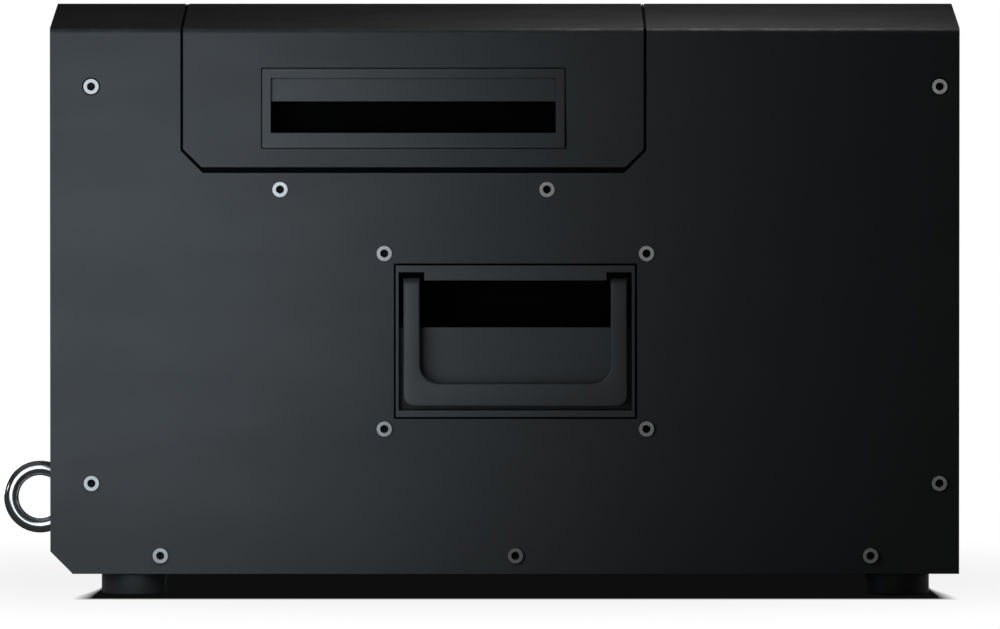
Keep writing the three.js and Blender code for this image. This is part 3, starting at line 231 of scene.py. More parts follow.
def give(tree, socket, value):
    """Gives a socket another node's output, or else a number or a colour."""
    if isinstance(value, bpy.types.NodeSocket):
        tree.links.new(value, socket)
    else:
        socket.default_value = value


def add_node(tree, kind, inputs=None, **settings):
    """A shader node. Each input takes a number, a colour or another node's output."""
    node = tree.nodes.new("ShaderNode" + kind)
    for name, value in settings.items():
        setattr(node, name, value)
    for name, value in (inputs or {}).items():
        give(tree, node.inputs[name], value)
    return node


def maths(tree, operation, a, b=0.0, c=0.0, clamp=False):
    """The result of one Math node."""
    node = add_node(tree, "Math", {0: a, 1: b, 2: c}, operation=operation, use_clamp=clamp)
    return node.outputs[0]


def fade(tree, value, start, end, low=0.0, high=1.0):
    """A smooth change from low to high as the value goes from start to end."""
    inputs = {"Value": value, "From Min": start, "From Max": end, "To Min": low, "To Max": high}
    return add_node(tree, "MapRange", inputs, interpolation_type="SMOOTHSTEP").outputs["Result"]


def blended(tree, share, first, second):
    """A colour between two others."""
    mix = add_node(tree, "Mix", data_type="RGBA")
    for number, value in ((0, share), (6, first), (7, second)):
        give(tree, mix.inputs[number], value)
    return mix.outputs[2]


def covered(tree, tone, mask, share, over):
    """A colour with another one over it, as far as the mask times the share says."""
    return blended(tree, maths(tree, "MULTIPLY", mask, share), tone, over)


def varied(tree, roughness, mask, swing):
    """A roughness that goes half a swing down and up as the mask goes from nought to one."""
    return maths(tree, "MULTIPLY_ADD", mask, swing, roughness - swing / 2)


def noise(tree, place, grain, detail=2.0, roughness=0.5):
    """Noise whose features are about as large as the grain, in metres."""
    inputs = {"Vector": place, "Scale": 1 / grain, "Detail": detail, "Roughness": roughness}
    return add_node(tree, "TexNoise", inputs).outputs["Fac"]


def grey(value, warmth=0.0):
    """A grey whose red is raised and whose blue is lowered by a share, the warmth."""
    return (value * (1 + warmth), value, value * (1 - warmth), 1.0)


def shaded(colour, share):
    """A colour with its red, green and blue times a share."""
    return (*[share * part for part in colour[:3]], 1.0)


def new_group(name, inputs):
    """A shader group and its inputs: a number for each one with a value, and else a vector."""
    group = bpy.data.node_groups.new(name, "ShaderNodeTree")
    for label, value in inputs.items():
        kind = "NodeSocketVector" if value is None else "NodeSocketFloat"
        socket = group.interface.new_socket(label, in_out="INPUT", socket_type=kind)
        if value is not None:
            socket.default_value = value
    return group, group.nodes.new("NodeGroupInput").outputs


def closed(group, outputs):
    """The group, with the masks and heights that it puts out."""
    for label in outputs:
        group.interface.new_socket(label, in_out="OUTPUT", socket_type="NodeSocketFloat")
    result = group.nodes.new("NodeGroupOutput")
    for label, value in outputs.items():
        group.links.new(value, result.inputs[label])
    return group


SPECK_FINENESS = 3.1  # how much finer the specks are than the peel
SPECK_RIM = 0.42  # from a speck's middle, in its own size
SPECK_CORE = 0.12
WEAR_PATCH = 6 * MM
DUST_PATCH = 35 * MM
SMEAR_LENGTH = 60 * MM
SMEAR_STRETCH = (0.5, 0.5, 1.6)
BROAD_SCALE = 0.13  # the broad lines' scale, against the fine ones'
BROAD_SHARE = 0.6


def grain_group():
    """Fine orange peel and specks, as a powder coat or a moulded surface has."""
    group, given = new_group("Fine grain", {"Place": None, "Size": 0.4 * MM, "Specks": 0.3})
    scale = maths(group, "DIVIDE", 1.0, given["Size"])
    peel = add_node(group, "TexNoise", {"Vector": given["Place"], "Scale": scale, "Detail": 2.0})
    finer = maths(group, "MULTIPLY", scale, SPECK_FINENESS)
    specks = add_node(group, "TexVoronoi", {"Vector": given["Place"], "Scale": finer, "Randomness": 1.0})
    speck = fade(group, specks.outputs["Distance"], SPECK_RIM, SPECK_CORE)
    raised = maths(group, "MULTIPLY", speck, given["Specks"])
    height = maths(group, "ADD", peel.outputs["Fac"], raised)
    return closed(group, {"Height": height, "Mask": speck})


def wear_and_highlight_group():
    """Wear and painted highlight on a box's edges: the second smallest distance to its faces, broken up by
    noise.
    """
    group, given = new_group("Edge wear", {"Place": None, "Middle": None, "Half size": None, "Width": MM})
    from_middle = add_node(group, "VectorMath", {0: given["Place"], 1: given["Middle"]}, operation="SUBTRACT")
    distance = add_node(group, "VectorMath", {0: from_middle.outputs[0]}, operation="ABSOLUTE")
    inputs = {0: given["Half size"], 1: distance.outputs[0]}
    depth = add_node(group, "VectorMath", inputs, operation="SUBTRACT")
    part = add_node(group, "SeparateXYZ", {0: depth.outputs[0]}).outputs
    nearer = maths(group, "MINIMUM", part[0], part[1])
    farther = maths(group, "MAXIMUM", part[0], part[1])
    second = maths(group, "MAXIMUM", nearer, maths(group, "MINIMUM", farther, part[2]))
    broken = noise(group, given["Place"], WEAR_PATCH, detail=6.0, roughness=0.7)
    uneven = fade(group, broken, start=0.4, end=0.75, low=0.6, high=1.6)
    width = maths(group, "MULTIPLY", given["Width"], uneven)
    share = maths(group, "DIVIDE", second, width)
    return closed(group, {"Mask": maths(group, "SUBTRACT", 1.0, share, clamp=True)})


def dust_group():
    """Dust that settles on what faces up, and faint smears everywhere."""
    group, given = new_group("Dust", {"Place": None, "Normal": None})
    up = add_node(group, "SeparateXYZ", {0: given["Normal"]}).outputs[2]
    drift = noise(group, given["Place"], DUST_PATCH, detail=5.0, roughness=0.6)
    flat = fade(group, up, start=0.5, end=1.0)
    settled = maths(group, "MULTIPLY", flat, fade(group, drift, start=0.35, end=0.7))
    stretched = add_node(group, "Mapping", {"Vector": given["Place"], "Scale": SMEAR_STRETCH})
    wiped = noise(group, stretched.outputs[0], SMEAR_LENGTH, detail=4.0, roughness=0.6)
    smear = fade(group, wiped, start=0.35, end=0.7)
    return closed(group, {"Settled": settled, "Smear": smear})


def streak_group():
    """Long fine lines, as rolled, drawn or brushed metal has. The stretch is small along the lines."""
    group, given = new_group("Drawn lines", {"Place": None, "Stretch": None, "Size": 0.3 * MM})
    stretched = add_node(group, "VectorMath", {0: given["Place"], 1: given["Stretch"]}, operation="MULTIPLY")
    scale = maths(group, "DIVIDE", 1.0, given["Size"])
    fine = add_node(group, "TexNoise", {"Vector": stretched.outputs[0], "Scale": scale, "Detail": 3.0})
    fine = fine.outputs["Fac"]
    coarse = maths(group, "MULTIPLY", scale, BROAD_SCALE)
    broad = add_node(group, "TexNoise", {"Vector": stretched.outputs[0], "Scale": coarse, "Detail": 2.0})
    fine_part = maths(group, "MULTIPLY", fine, 1 - BROAD_SHARE)
    tone = maths(group, "MULTIPLY_ADD", broad.outputs["Fac"], BROAD_SHARE, fine_part)
    return closed(group, {"Height": fine, "Tone": tone})


GRAIN, WEAR_AND_HIGHLIGHT, DUST, STREAKS = grain_group(), wear_and_highlight_group(), dust_group(), streak_group()


class Finish:
    """A material in the making: its tree, its Object coordinates and its Principled shader."""

    def __init__(self, name, slot, metallic=0.0, specular=0.5, **more):
        self.material = bpy.data.materials.new(name)
        self.material.use_nodes = True
        self.tree = self.material.node_tree
        self.shader = self.tree.nodes["Principled BSDF"]
        self.shader.inputs["Metallic"].default_value = metallic
        self.shader.inputs["IOR"].default_value = 1.5
        self.shader.inputs["Specular IOR Level"].default_value = specular
        for label, value in more.items():
            self.shader.inputs[label.replace("_", " ").title()].default_value = value
        source = self.tree.nodes.new("ShaderNodeTexCoord")
        self.place = source.outputs["Object"]
        self.normal = source.outputs["Normal"]

    def group(self, group, **inputs):
        """Places a shader group that reads the Object coordinates, and gives its outputs."""
        node = self.tree.nodes.new("ShaderNodeGroup")
        node.node_tree = group
        self.tree.links.new(self.place, node.inputs["Place"])
        for name, value in inputs.items():
            give(self.tree, node.inputs[name.replace("_", " ").capitalize()], value)
        return node.outputs

    def done(self, tone, roughness, height, depth):
        """The material with its colour and roughness, its surface raised by the height times the depth."""
        bump = add_node(self.tree, "Bump", {"Height": height, "Distance": depth, "Strength": 1.0})
        self.tree.links.new(tone, self.shader.inputs["Base Color"])
        self.tree.links.new(roughness, self.shader.inputs["Roughness"])
        self.tree.links.new(bump.outputs["Normal"], self.shader.inputs["Normal"])
        return self.material


CLOUD_TONES = (0.86, 1.22)  # the darkest and lightest part of a coat's clouds
CLOUD_GLOSS = 0.08
SPECK_SHARE = 0.16
SPECK_TONE = grey(0.09)
DUST_TONE = grey(0.16, 0.06)
SMEAR_GLOSS = 0.05
# A box's edges turn lighter: partly rubbed paint, partly a painted highlight
WORN_AND_HIGHLIGHT_SHARE = 0.35
WORN_AND_HIGHLIGHT_TONE = grey(0.13)
WORN_GLOSS = -0.3
LINE_GLOSS = 0.12
STAIN_SHARE = 0.25
STAIN_GLOSS = 0.08
SKIN_TONE = 0.88  # the darkest part of a moulded piece's clouds
SKIN_GLOSS = 0.1
SKIN_DUST_SHARE = 0.06
SKIN_DUST_TONE = grey(0.2, 0.06)


def coated(name, slot, colour, roughness, grain, depth, box=None, wear_and_highlight=0.6 * MM, specular=0.5, dust=0.10):
    """A powder coat: grain, faint clouds in its colour and gloss, a little dust, and on a box lighter edges:
    rubbed paint and a painted highlight.
    """
    finish = Finish(name, slot, specular=specular)
    tree = finish.tree
    peel = finish.group(GRAIN, size=grain, specks=0.35)
    dusty = finish.group(DUST, normal=finish.normal)
    cloud = noise(tree, finish.place, grain=22 * MM, detail=3.0)
    tone = blended(tree, cloud, shaded(colour, CLOUD_TONES[0]), shaded(colour, CLOUD_TONES[1]))
    tone = covered(tree, tone, peel["Mask"], SPECK_SHARE, SPECK_TONE)
    tone = covered(tree, tone, dusty["Settled"], dust, DUST_TONE)
    rough = varied(tree, roughness, cloud, CLOUD_GLOSS)
    rough = maths(tree, "MULTIPLY_ADD", dusty["Smear"], SMEAR_GLOSS, rough)
    if box is not None:
        low, high = np.array(box[0]), np.array(box[1])
        centre, half_size = tuple((low + high) / 2), tuple((high - low) / 2)
        worn_and_highlit = finish.group(WEAR_AND_HIGHLIGHT, middle=centre, half_size=half_size, width=wear_and_highlight)
        # Painted highlight together with rubbed paint along the box's edges
        tone = covered(tree, tone, worn_and_highlit["Mask"], WORN_AND_HIGHLIGHT_SHARE, WORN_AND_HIGHLIGHT_TONE)
        rough = maths(tree, "MULTIPLY_ADD", worn_and_highlit["Mask"], WORN_GLOSS, rough)
    return finish.done(tone, rough, peel["Height"], depth)


def sheet_metal(name, slot, colour, roughness, stretch, line=0.35 * MM, depth=0.004 * MM, spangle=0.12):
    """Bare or plated metal: drawn lines, soft clouds and a few darker stains."""
    finish = Finish(name, slot, metallic=1.0)
    tree = finish.tree
    lines = finish.group(STREAKS, stretch=stretch, size=line)
    cloud = noise(tree, finish.place, grain=18 * MM, detail=4.0, roughness=0.6)
    dark = shaded(colour, 1 - spangle)
    tone = blended(tree, lines["Tone"], dark, colour)
    stain = fade(tree, cloud, start=0.5, end=0.8)
    tone = covered(tree, tone, stain, STAIN_SHARE, dark)
    rough = varied(tree, roughness, lines["Tone"], LINE_GLOSS)
    rough = maths(tree, "MULTIPLY_ADD", stain, STAIN_GLOSS, rough)
    return finish.done(tone, rough, lines["Height"], depth)


def moulded(name, slot, colour, roughness, grain=0.35 * MM, depth=0.01 * MM, **more):
    """Moulded plastic, rubber, glaze or lens: a fine skin with slight clouds in its tone and gloss."""
    finish = Finish(name, slot, **more)
    tree = finish.tree
    skin = finish.group(GRAIN, size=grain, specks=0.2)
    dusty = finish.group(DUST, normal=finish.normal)
    cloud = noise(tree, finish.place, grain=9 * MM, detail=3.0)
    tone = blended(tree, cloud, shaded(colour, SKIN_TONE), colour)
    tone = covered(tree, tone, dusty["Settled"], SKIN_DUST_SHARE, SKIN_DUST_TONE)
    return finish.done(tone, varied(tree, roughness, cloud, SKIN_GLOSS), skin["Height"], depth)


# The finishes of this machine

casing_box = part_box("cover_shell")
# Only the folds along the top get the lighter edge, partly rubbed paint and partly a painted highlight, so
# the box whose edges it follows reaches past the casing's ends and bottom
PAST = Vector((100 * MM, 0, 100 * MM))
folds = (casing_box[0] - PAST, casing_box[1] + Vector((PAST.x, 0, 0)))
COAT = {"slot": "black_coat", "colour": grey(0.0195, -0.02), "roughness": 0.59}
coat = coated("black coat", grain=0.55 * MM, depth=0.02 * MM, box=folds, wear_and_highlight=1.8 * MM, **COAT)
panel_coat = coated("panel coat", grain=0.5 * MM, depth=0.012 * MM, **COAT)
# Painted light: the handle dishes get the black coat made lighter
dish_coat_painted_lighter = coated("dish coat", "black_coat", grey(0.032, -0.02), 0.56, 0.5 * MM, 0.01 * MM)
near_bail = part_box("handle_bail_near")
bail_coat = coated(
    "handle coat", "black_casting", grey(0.035, -0.02), 0.5, 0.7 * MM, 0.012 * MM, near_bail, 0.9 * MM
)
pull_plastic = moulded("pull plastic", "black_plastic", grey(0.021, -0.02), 0.52, 0.4 * MM, 0.008 * MM)
# Painted shade: a near-black coat with almost no gloss, for faces that lie in gaps and hollows
painted_shade_coat = coated("dark coat", "black_coat", grey(0.0008), 0.8, 0.5 * MM, 0.01 * MM, specular=0.02, dust=0.0)
black_plastic = moulded("black plastic", "black_plastic", grey(0.016), 0.45)
button_plastic = moulded("button plastic", "black_plastic", grey(0.028), 0.5)
zinc = sheet_metal("zinc plate", "zinc_steel", (0.55, 0.57, 0.58, 1), 0.38, (0.06, 1, 1), 0.8 * MM)
foot_rubber = moulded("foot rubber", "foot_rubber", grey(0.018), 0.55, 0.6 * MM, 0.02 * MM)
# Foam for the lid's gap strips, so dark and dull that it is also painted shade in those gaps
seal_foam_and_gap_shade = moulded("seal foam and painted gap shade", "foot_rubber", grey(0.0015), 0.8, 0.6 * MM, 0.02 * MM, specular=0.05)
eye_steel = sheet_metal(
    "polished steel", "polished_steel", (0.7, 0.71, 0.72, 1), 0.2, (1, 1, 1), line=3 * MM, spangle=0.05
)
lock_steel = sheet_metal(
    "lock steel", "polished_steel", (0.74, 0.75, 0.76, 1), 0.2, (1, 1, 1), 0.5 * MM, 0.002 * MM
)
screw_steel = sheet_metal(
    "screw steel", "screw_steel", (0.22, 0.222, 0.225, 1), 0.22, (1, 1, 0.3), 0.25 * MM
)
# Painted shade: near-black steel for the floor of a screw's hexagon socket
socket_shade_steel = sheet_metal("steel in painted shade", "screw_steel", grey(0.007), 0.5, (1, 1, 1), 0.25 * MM)
stainless = sheet_metal("stainless", "stainless", grey(0.6), 0.32, (1, 0.05, 1), 0.5 * MM)
brass = sheet_metal("brass", "brass", (0.72, 0.53, 0.26, 1), 0.26, (1, 1, 0.2), 0.3 * MM)
contacts = sheet_metal("contact metal", "brass", (0.86, 0.68, 0.38, 1), 0.22, (1, 1, 1), 0.3 * MM, 0.001 * MM)
glaze = moulded("white glaze", "ceramic", (0.8, 0.77, 0.7, 1), 0.18, 1.2 * MM, coat_weight=0.6)
can_lacquer = coated("can lacquer", "can_paint", (0.5, 0.52, 0.54, 1), 0.3, 0.9 * MM, 0.003 * MM)
lens = moulded("smoked lens", "lens", (0.006, 0.008, 0.011, 1), 0.1, 3 * MM, 0.0005 * MM, specular=0.25)
board_green = moulded("board green", "circuit_board", (0.01, 0.09, 0.04, 1), 0.35, 0.3 * MM, 0.004 * MM)
socket_shell = moulded("socket shell", "socket_metal", grey(0.035), 0.34, 0.3 * MM, 0.004 * MM, metallic=0.6)
lead_rubber = moulded("lead rubber", "red_rubber", (0.35, 0.02, 0.014, 1), 0.42, 0.8 * MM)
AMBER = (1.0, 0.27, 0.04, 1)
lit_amber = moulded(
    "lit segment", "lens", (0.6, 0.16, 0.02, 1), 0.4, emission_color=AMBER, emission_strength=1.2
)

# Folded and flat parts, which keep the solids' own faces

SHEET = 2.4 * MM  # a little more than the cover's thickness
SKIN = 0.02 * MM  # less deep than this, a face is a side's outer one
RIM = 0.4 * MM  # a recess gets painted shade from here in
PULL_DEPTHS = (2.7 * MM, 7 * MM)  # a recess's step and its shelf
DISH_DEPTHS = (5 * MM, 12 * MM)
SQUARE = 0.9  # a face is square to an axis when its normal has more than this along it


def depth_in(face):
    """How far a face's middle lies behind the cover's sides."""
    return casing_box[1].y - abs(face.center.y)


def cut_edge(face):
    """True on a sheet's cut edges: within the side's thickness, below the top sheet and not square to Y."""
    below_top = face.center.z < casing_box[1].z - SHEET
    return below_top and abs(face.normal.y) < SQUARE and SKIN < depth_in(face) < SHEET


def web_face_in_gap_shade(face):
    """True on a web's outer faces, which get painted shade: square to Y near the cover's sides, or close
    under its top.
    """
    near_side = depth_in(face) < 2.5 * SHEET and abs(face.normal.y) > SQUARE
    return near_side or face.center.z > casing_box[1].z - 1.5 * SHEET


def recess_inside(step, shelf):
    """A test that is true on a recess's faces between its rim and its step, or deeper than its shelf."""
    return lambda face: depth_in(face) > shelf or RIM < depth_in(face) < step


def with_painted_shade(mesh, in_painted_shade, material):
    """Gives some faces of a mesh that has its main finish already a second, darker one, as painted shade."""
    mesh.materials.append(material)
    for face in mesh.polygons:
        if in_painted_shade(face):
            face.material_index = 1


# Each finish, its edges' rounding in millimetres, the body it rides on, its solids and which of their
# faces get painted shade: a sheet's cut edges, a recess's inside, the webs' faces in the lid's gaps, or none
FLAT_PARTS = [
    (coat, 0.12, "casing", ["cover_shell"], cut_edge),
    (coat, 0.12, "lid", ["lid"], cut_edge),
    (panel_coat, 0.25, "casing", ["rear_panel", "front_panel"], None),
    (dish_coat_painted_lighter, 0.2, "casing", ["handle_dish_near", "handle_dish_far"], recess_inside(*DISH_DEPTHS)),
    (pull_plastic, 0.3, "lid", ["lid_pull_near", "lid_pull_far"], recess_inside(*PULL_DEPTHS)),
    # The lid's ledges, seen only through its gaps, are near black as painted shade
    (painted_shade_coat, 0.2, "casing", ["lid_ledge_near", "lid_ledge_far"], None),
    (zinc, 0.2, "casing", ["base_tray"], None),
    (zinc, 0.2, "casing", ["bulkhead_left", "bulkhead_right"], web_face_in_gap_shade),
    (zinc, 0.6, "casing", ["power_supply"], None),
    (stainless, 0.3, "casing", ["burner_pan"], None),
    (brass, 0.8, "casing", ["valve_bridge"], None),
    (black_plastic, 0.3, "casing", ["power_inlet", "power_outlet"], None),
]
for material, edge, body, nodes, in_painted_shade in FLAT_PARTS:
    for node in nodes:
        piece = add_piece(solid_faces(node), material, [node], edge * MM, body)
        if in_painted_shade:
            with_painted_shade(piece.data, in_painted_shade, painted_shade_coat)

# Foam strips that close the gaps beside the lid; their near-black, barely glossy tone also paints the gaps'
# shade

CLEAR = 0.3 * MM  # left between pieces that lie close, or sunk into the one that carries them
LID_GAP = 1.3 * MM
SEAL = 2 * MM
SEAL_SPARE = 0.15 * MM
lid_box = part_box("lid")
web_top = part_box("bulkhead_left")[1].z
ledge_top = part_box("lid_ledge_near")[1].z
inner = lid_box[1].y - SHEET - SEAL_SPARE
for edge, outwards, label in ((lid_box[0].x, -1, "left"), (lid_box[1].x, 1, "right")):
    low_x, high_x = sorted([edge, edge + outwards * LID_GAP])
    low = (low_x + SEAL_SPARE, lid_box[0].y + SHEET, web_top)
    high = (high_x - SEAL_SPARE, lid_box[1].y - SHEET, lid_box[1].z - CLEAR)
    add_piece(block("lid_gap_seal_top_" + label, low, high), seal_foam_and_gap_shade)
    for side_name, side in SIDES.items():
        low_y, high_y = sorted([side * inner, side * (inner - SEAL)])
        low = (low_x - 2 * SEAL, low_y, ledge_top)
        high = (high_x + 2 * SEAL, high_y, web_top)
        add_piece(block(f"lid_gap_seal_{label}_{side_name}", low, high), seal_foam_and_gap_shade)

# Countersunk socket screws: the near side's stand for their solids, and the far side's mirror them

HEAD_EDGE = 0.3 * MM
HEAD_DEPTH = 1.7 * MM
SHANK = 2.0 * MM
SOCKET = 3.2 * MM
SOCKET_EDGE = 0.3 * MM
SOCKET_DEPTH = 1.4 * MM
SOCKET_REACH = 0.6 * SOCKET  # from its middle, past its corners
SLOPING = 0.5  # the share of a sloping floor's normal that points along the screw, at least


def socket_screw(name, x, face, z, radius, length, side, replaces=()):
    """A cone under a flat rim, a shank behind it and a hexagon socket in the middle, all measured inwards."""
    inwards = [
        [0, length],
        [SHANK, length],
        [SHANK, HEAD_DEPTH],
        [radius - HEAD_EDGE / 2, HEAD_EDGE],
        [radius - HEAD_EDGE, 0],
        [SOCKET / 2 + SOCKET_EDGE, 0],
        [hexagon(SOCKET), SOCKET_EDGE],
        [hexagon(SOCKET), SOCKET_DEPTH],
        [0, SOCKET_DEPTH + SOCKET_EDGE],
    ]
    profile = [[outline, -side * depth] for outline, depth in inwards]
    screw = add_piece(surface(name, stack("y", (x, face, z), profile)), screw_steel, replaces)

    def socket_floor(part):
        inside = math.hypot(part.center.x - x, part.center.z - z) < SOCKET_REACH
        depth = abs(part.center.y - face)
        return inside and abs(part.normal.y) > SLOPING and HEAD_EDGE < depth < length / 2

    # The socket's floor gets painted shade
    with_painted_shade(screw.data, socket_floor, socket_shade_steel)


for node in sorted(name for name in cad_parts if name.startswith("screw_")):
    low, high, (x, _, z) = placed(node)
    radius, length = (high.x - low.x) / 2, high.y - low.y
    socket_screw("near_" + node, x, low.y, z, radius, length, -1, [node])
    socket_screw("far_" + node, x, -low.y, z, radius, length, 1)

# Rubber feet, hollowed under a fixing screw

FOOT_RECESS = 5.5 * MM
FOOT_RECESS_DEPTH = 4 * MM
FOOT_BEVEL = 1.2 * MM
FOOT_STUD = 3 * MM
FIXING_HEAD = [[0, -2.2], [2.6, -2.2], [3.6, -1.2], [3.8, 0], [0, 0]]  # in millimetres
for node in ("foot_rear_near", "foot_rear_far", "foot_front_near", "foot_front_far"):
    low, high, (x, y, _) = placed(node)
    radius = (high.x - low.x) / 2
    top = casing_box[0].z - CLEAR
    profile = [
        [0, FOOT_RECESS_DEPTH],
        [FOOT_RECESS, FOOT_RECESS_DEPTH],
        [FOOT_RECESS, FOOT_BEVEL / 2],
        [FOOT_RECESS + FOOT_BEVEL / 2, 0],
        [radius - FOOT_BEVEL, 0],
        [radius - FOOT_BEVEL / 3, FOOT_BEVEL / 3],
        [radius, FOOT_BEVEL],
        [radius, top - FOOT_BEVEL / 2],
        [radius - FOOT_BEVEL / 2, top],
        [FOOT_STUD, top],
        [FOOT_STUD, high.z],
        [0, high.z],
    ]
    add_piece(surface(node + "_pad", stack("z", (x, y, 0), profile)), foot_rubber, [node])
    fixing = stack("z", (x, y, FOOT_RECESS_DEPTH), in_mm(FIXING_HEAD))
    add_piece(surface(node + "_fixing", fixing), screw_steel)

# The lifting eye: a round bar bent to a ring, on a turned collar

EYE_BAR = 6.85 * MM
EYE_STEPS = 96
COLLAR_BORE = 4 * MM
COLLAR_CHAMFER = 0.5 * MM
COLLAR_EDGE = 2.4 * MM
COLLAR_SHOULDER = 1 * MM
COLLAR_NECK = [[7.6, -4.2], [6.6, -6]]  # [radius, height] in millimetres, outwards from the panel
low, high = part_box("eye_bolt")
ring_radius = (high.z - low.z - EYE_BAR) / 2
ring_middle = np.array([low.x + ring_radius + EYE_BAR / 2, 0, (low.z + high.z) / 2])
turn = np.linspace(0, 2 * math.pi, EYE_STEPS, endpoint=False)[:, None, None]
spin = ANGLES[None, :, None]
outwards = np.concatenate([np.cos(turn), 0 * turn, np.sin(turn)], 2)
sideways = np.array([0, 1, 0])
bar = EYE_BAR / 2
loops = ring_middle + outwards * (ring_radius + bar * np.cos(spin)) + sideways * bar * np.sin(spin)
add_piece(surface("lifting_ring", loops, ring=True), eye_steel, ["eye_bolt"])

panel_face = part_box("rear_panel")[0].x
collar_radius = (high.y - low.y) / 2
profile = [
    [COLLAR_BORE, high.x - panel_face],
    [COLLAR_BORE, 0],
    [collar_radius - COLLAR_CHAMFER, 0],
    [collar_radius, -COLLAR_CHAMFER],
    [collar_radius, -COLLAR_EDGE],
    [collar_radius - COLLAR_SHOULDER, -COLLAR_EDGE - COLLAR_SHOULDER],
    *in_mm(COLLAR_NECK),
]
mesh = turned("lifting_collar", "x", (panel_face - CLEAR, 0, ring_middle[2]), profile)
add_piece(mesh, eye_steel, edge=0.3 * MM)
low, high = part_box("eye_nut")
flats = hexagon(high.z - low.z, math.pi / 6)
thread = (high.z - low.z) / 3
profile = [[flats, 0], [flats, high.x - low.x], [thread, high.x - low.x], [thread, 0]]
mesh = ring("lifting_nut", "x", (low.x, 0, ring_middle[2]), profile)
add_piece(mesh, zinc, ["eye_nut"], edge=0.4 * MM)

# The folding handles: a flat bar bent to a U, its arms rounded over their pivots

ARM = 7.8 * MM
GRIP = 10.65 * MM
OUTER_CORNER = 4.6 * MM
INNER_CORNER = 9 * MM
BAIL_EDGE = 1.1 * MM
TRUNNION = 1.8 * MM
TRUNNION_REACH = 3.95 * MM  # past the arm's outer face
TRUNNION_CHAMFER = 0.3 * MM
TOP_STEPS = 9
CORNER_STEPS = 15


def u_line(half, low, high, corner, over):
    """Half of a U, from the top of its right arm to the middle of its grip, in [x, z]. The top's points
    lie on a quarter sine of height over, so that the arm can be rounded there, and the corner is a
    quarter circle."""
    rise = np.sin(np.linspace(math.pi / 2, 0, TOP_STEPS))
    arm = np.stack([np.full(TOP_STEPS, half), high - over + over * rise], 1)
    angle = np.linspace(0, math.pi / 2, CORNER_STEPS)
    turn = np.stack([half - corner + corner * np.cos(angle), low + corner - corner * np.sin(angle)], 1)
    return np.concatenate([arm, turn])


def bail(label):
    """A rounded rectangle carried along the U, square to it: it lies between the outer and the inner line,
    and at the arms' tops its depth falls as a circle's does, down to nothing."""
    node = "handle_bail_" + label
    low, high, (x, y, _) = placed(node)
    half = (high.x - low.x) / 2 - TRUNNION_REACH
    thick = high.y - low.y
    over = thick / 2
    outer = u_line(half, low.z, high.z, OUTER_CORNER, over)
    inner = u_line(half - ARM, low.z + GRIP, high.z, INNER_CORNER, over)
    mirror = np.array([-1, 1])
    outer = np.concatenate([outer, outer[::-1] * mirror])
    inner = np.concatenate([inner, inner[::-1] * mirror])
    across = outer - inner
    width = np.linalg.norm(across, axis=1)[:, None]
    across /= width
    axis_z = high.z - over
    above = np.clip((outer[:, 1:] - axis_z) / over, 0, 1)
    thinning = np.sqrt(1 - above**2)
    corner = circle(1).T
    out = np.sign(np.round(corner, 6))
    in_plane = (width / 2 - BAIL_EDGE) * out[0] + BAIL_EDGE * corner[0]
    in_depth = thinning * ((thick / 2 - BAIL_EDGE) * out[1] + BAIL_EDGE * corner[1])
    centre = (outer + inner) / 2
    loops = np.stack([
        x + centre[:, :1] + across[:, :1] * in_plane,
        y + in_depth,
        centre[:, 1:] + across[:, 1:] * in_plane,
    ], 2)
    ends = [np.repeat(loops[i].mean(0)[None], AROUND, 0)[None] for i in (0, -1)]
    mesh = surface("folding_handle_" + label, np.concatenate([ends[0], loops, ends[1]]))
    add_piece(mesh, bail_coat, [node], body=label + "_handle")
    inside, outside = half - ARM / 2, half + TRUNNION_REACH
    for end, end_name in ((-1, "left"), (1, "right")):
        profile = [
            [TRUNNION, end * inside],
            [TRUNNION, end * (outside - TRUNNION_CHAMFER)],
            [TRUNNION - TRUNNION_CHAMFER, end * outside],
        ]
        mesh = turned(f"handle_pivot_{label}_{end_name}", "x", (x, y, axis_z), profile)
        # The pivots take the near-black painted-shade coat, as they lie in the gap between arm and dish
        add_piece(mesh, painted_shade_coat, body=label + "_handle")


for label in SIDES:
    bail(label)

# The controls: a display with lit digits, buttons and a key switch

low, high, (_, display_y, control_z) = placed("display_window")
add_piece(solid_faces("display_window"), lens, ["display_window"], edge=0.3 * MM)

DIGIT = 14 * MM
STROKE = 1.3 * MM
DIGIT_PITCH = 14 * MM
DIGIT_RAISE = 0.06 * MM
DIGIT_SUNK = 0.2 * MM
STROKE_CORNER = STROKE / 2.2
# The strokes of each digit, as [along, up, is it upright] in half widths and half heights of the digit
STROKES = {
    "top": (0, 1, False),
    "middle": (0, 0, False),
    "bottom": (0, -1, False),
    "upper left": (-1, 0.5, True),
    "upper right": (1, 0.5, True),
    "lower left": (-1, -0.5, True),
    "lower right": (1, -0.5, True),
}
DIGITS = ("zero", "zero", "one")
DARK_STROKES = {"zero": ["middle"], "one": ["top", "middle", "bottom", "upper left", "lower left"]}
for place, digit in enumerate(DIGITS):
    for stroke, (along, up, upright) in STROKES.items():
        if stroke in DARK_STROKES[digit]:
            continue
        # Seen from outside, the panel's left is the far side
        y = display_y - (place - 1) * DIGIT_PITCH - along * DIGIT / 4
        z = control_z + up * DIGIT / 2
        half_length = DIGIT / 4 - STROKE / 2
        half_y, half_z = (STROKE / 2, half_length) if upright else (half_length, STROKE / 2)
        front = (low.x - DIGIT_RAISE, y - half_y, z - half_z)
        back = (low.x + DIGIT_SUNK, y + half_y, z + half_z)
        name = f"digit_{place + 1}_{stroke.replace(' ', '_')}"
        add_piece(block(name, front, back, STROKE_CORNER, "x"), lit_amber)

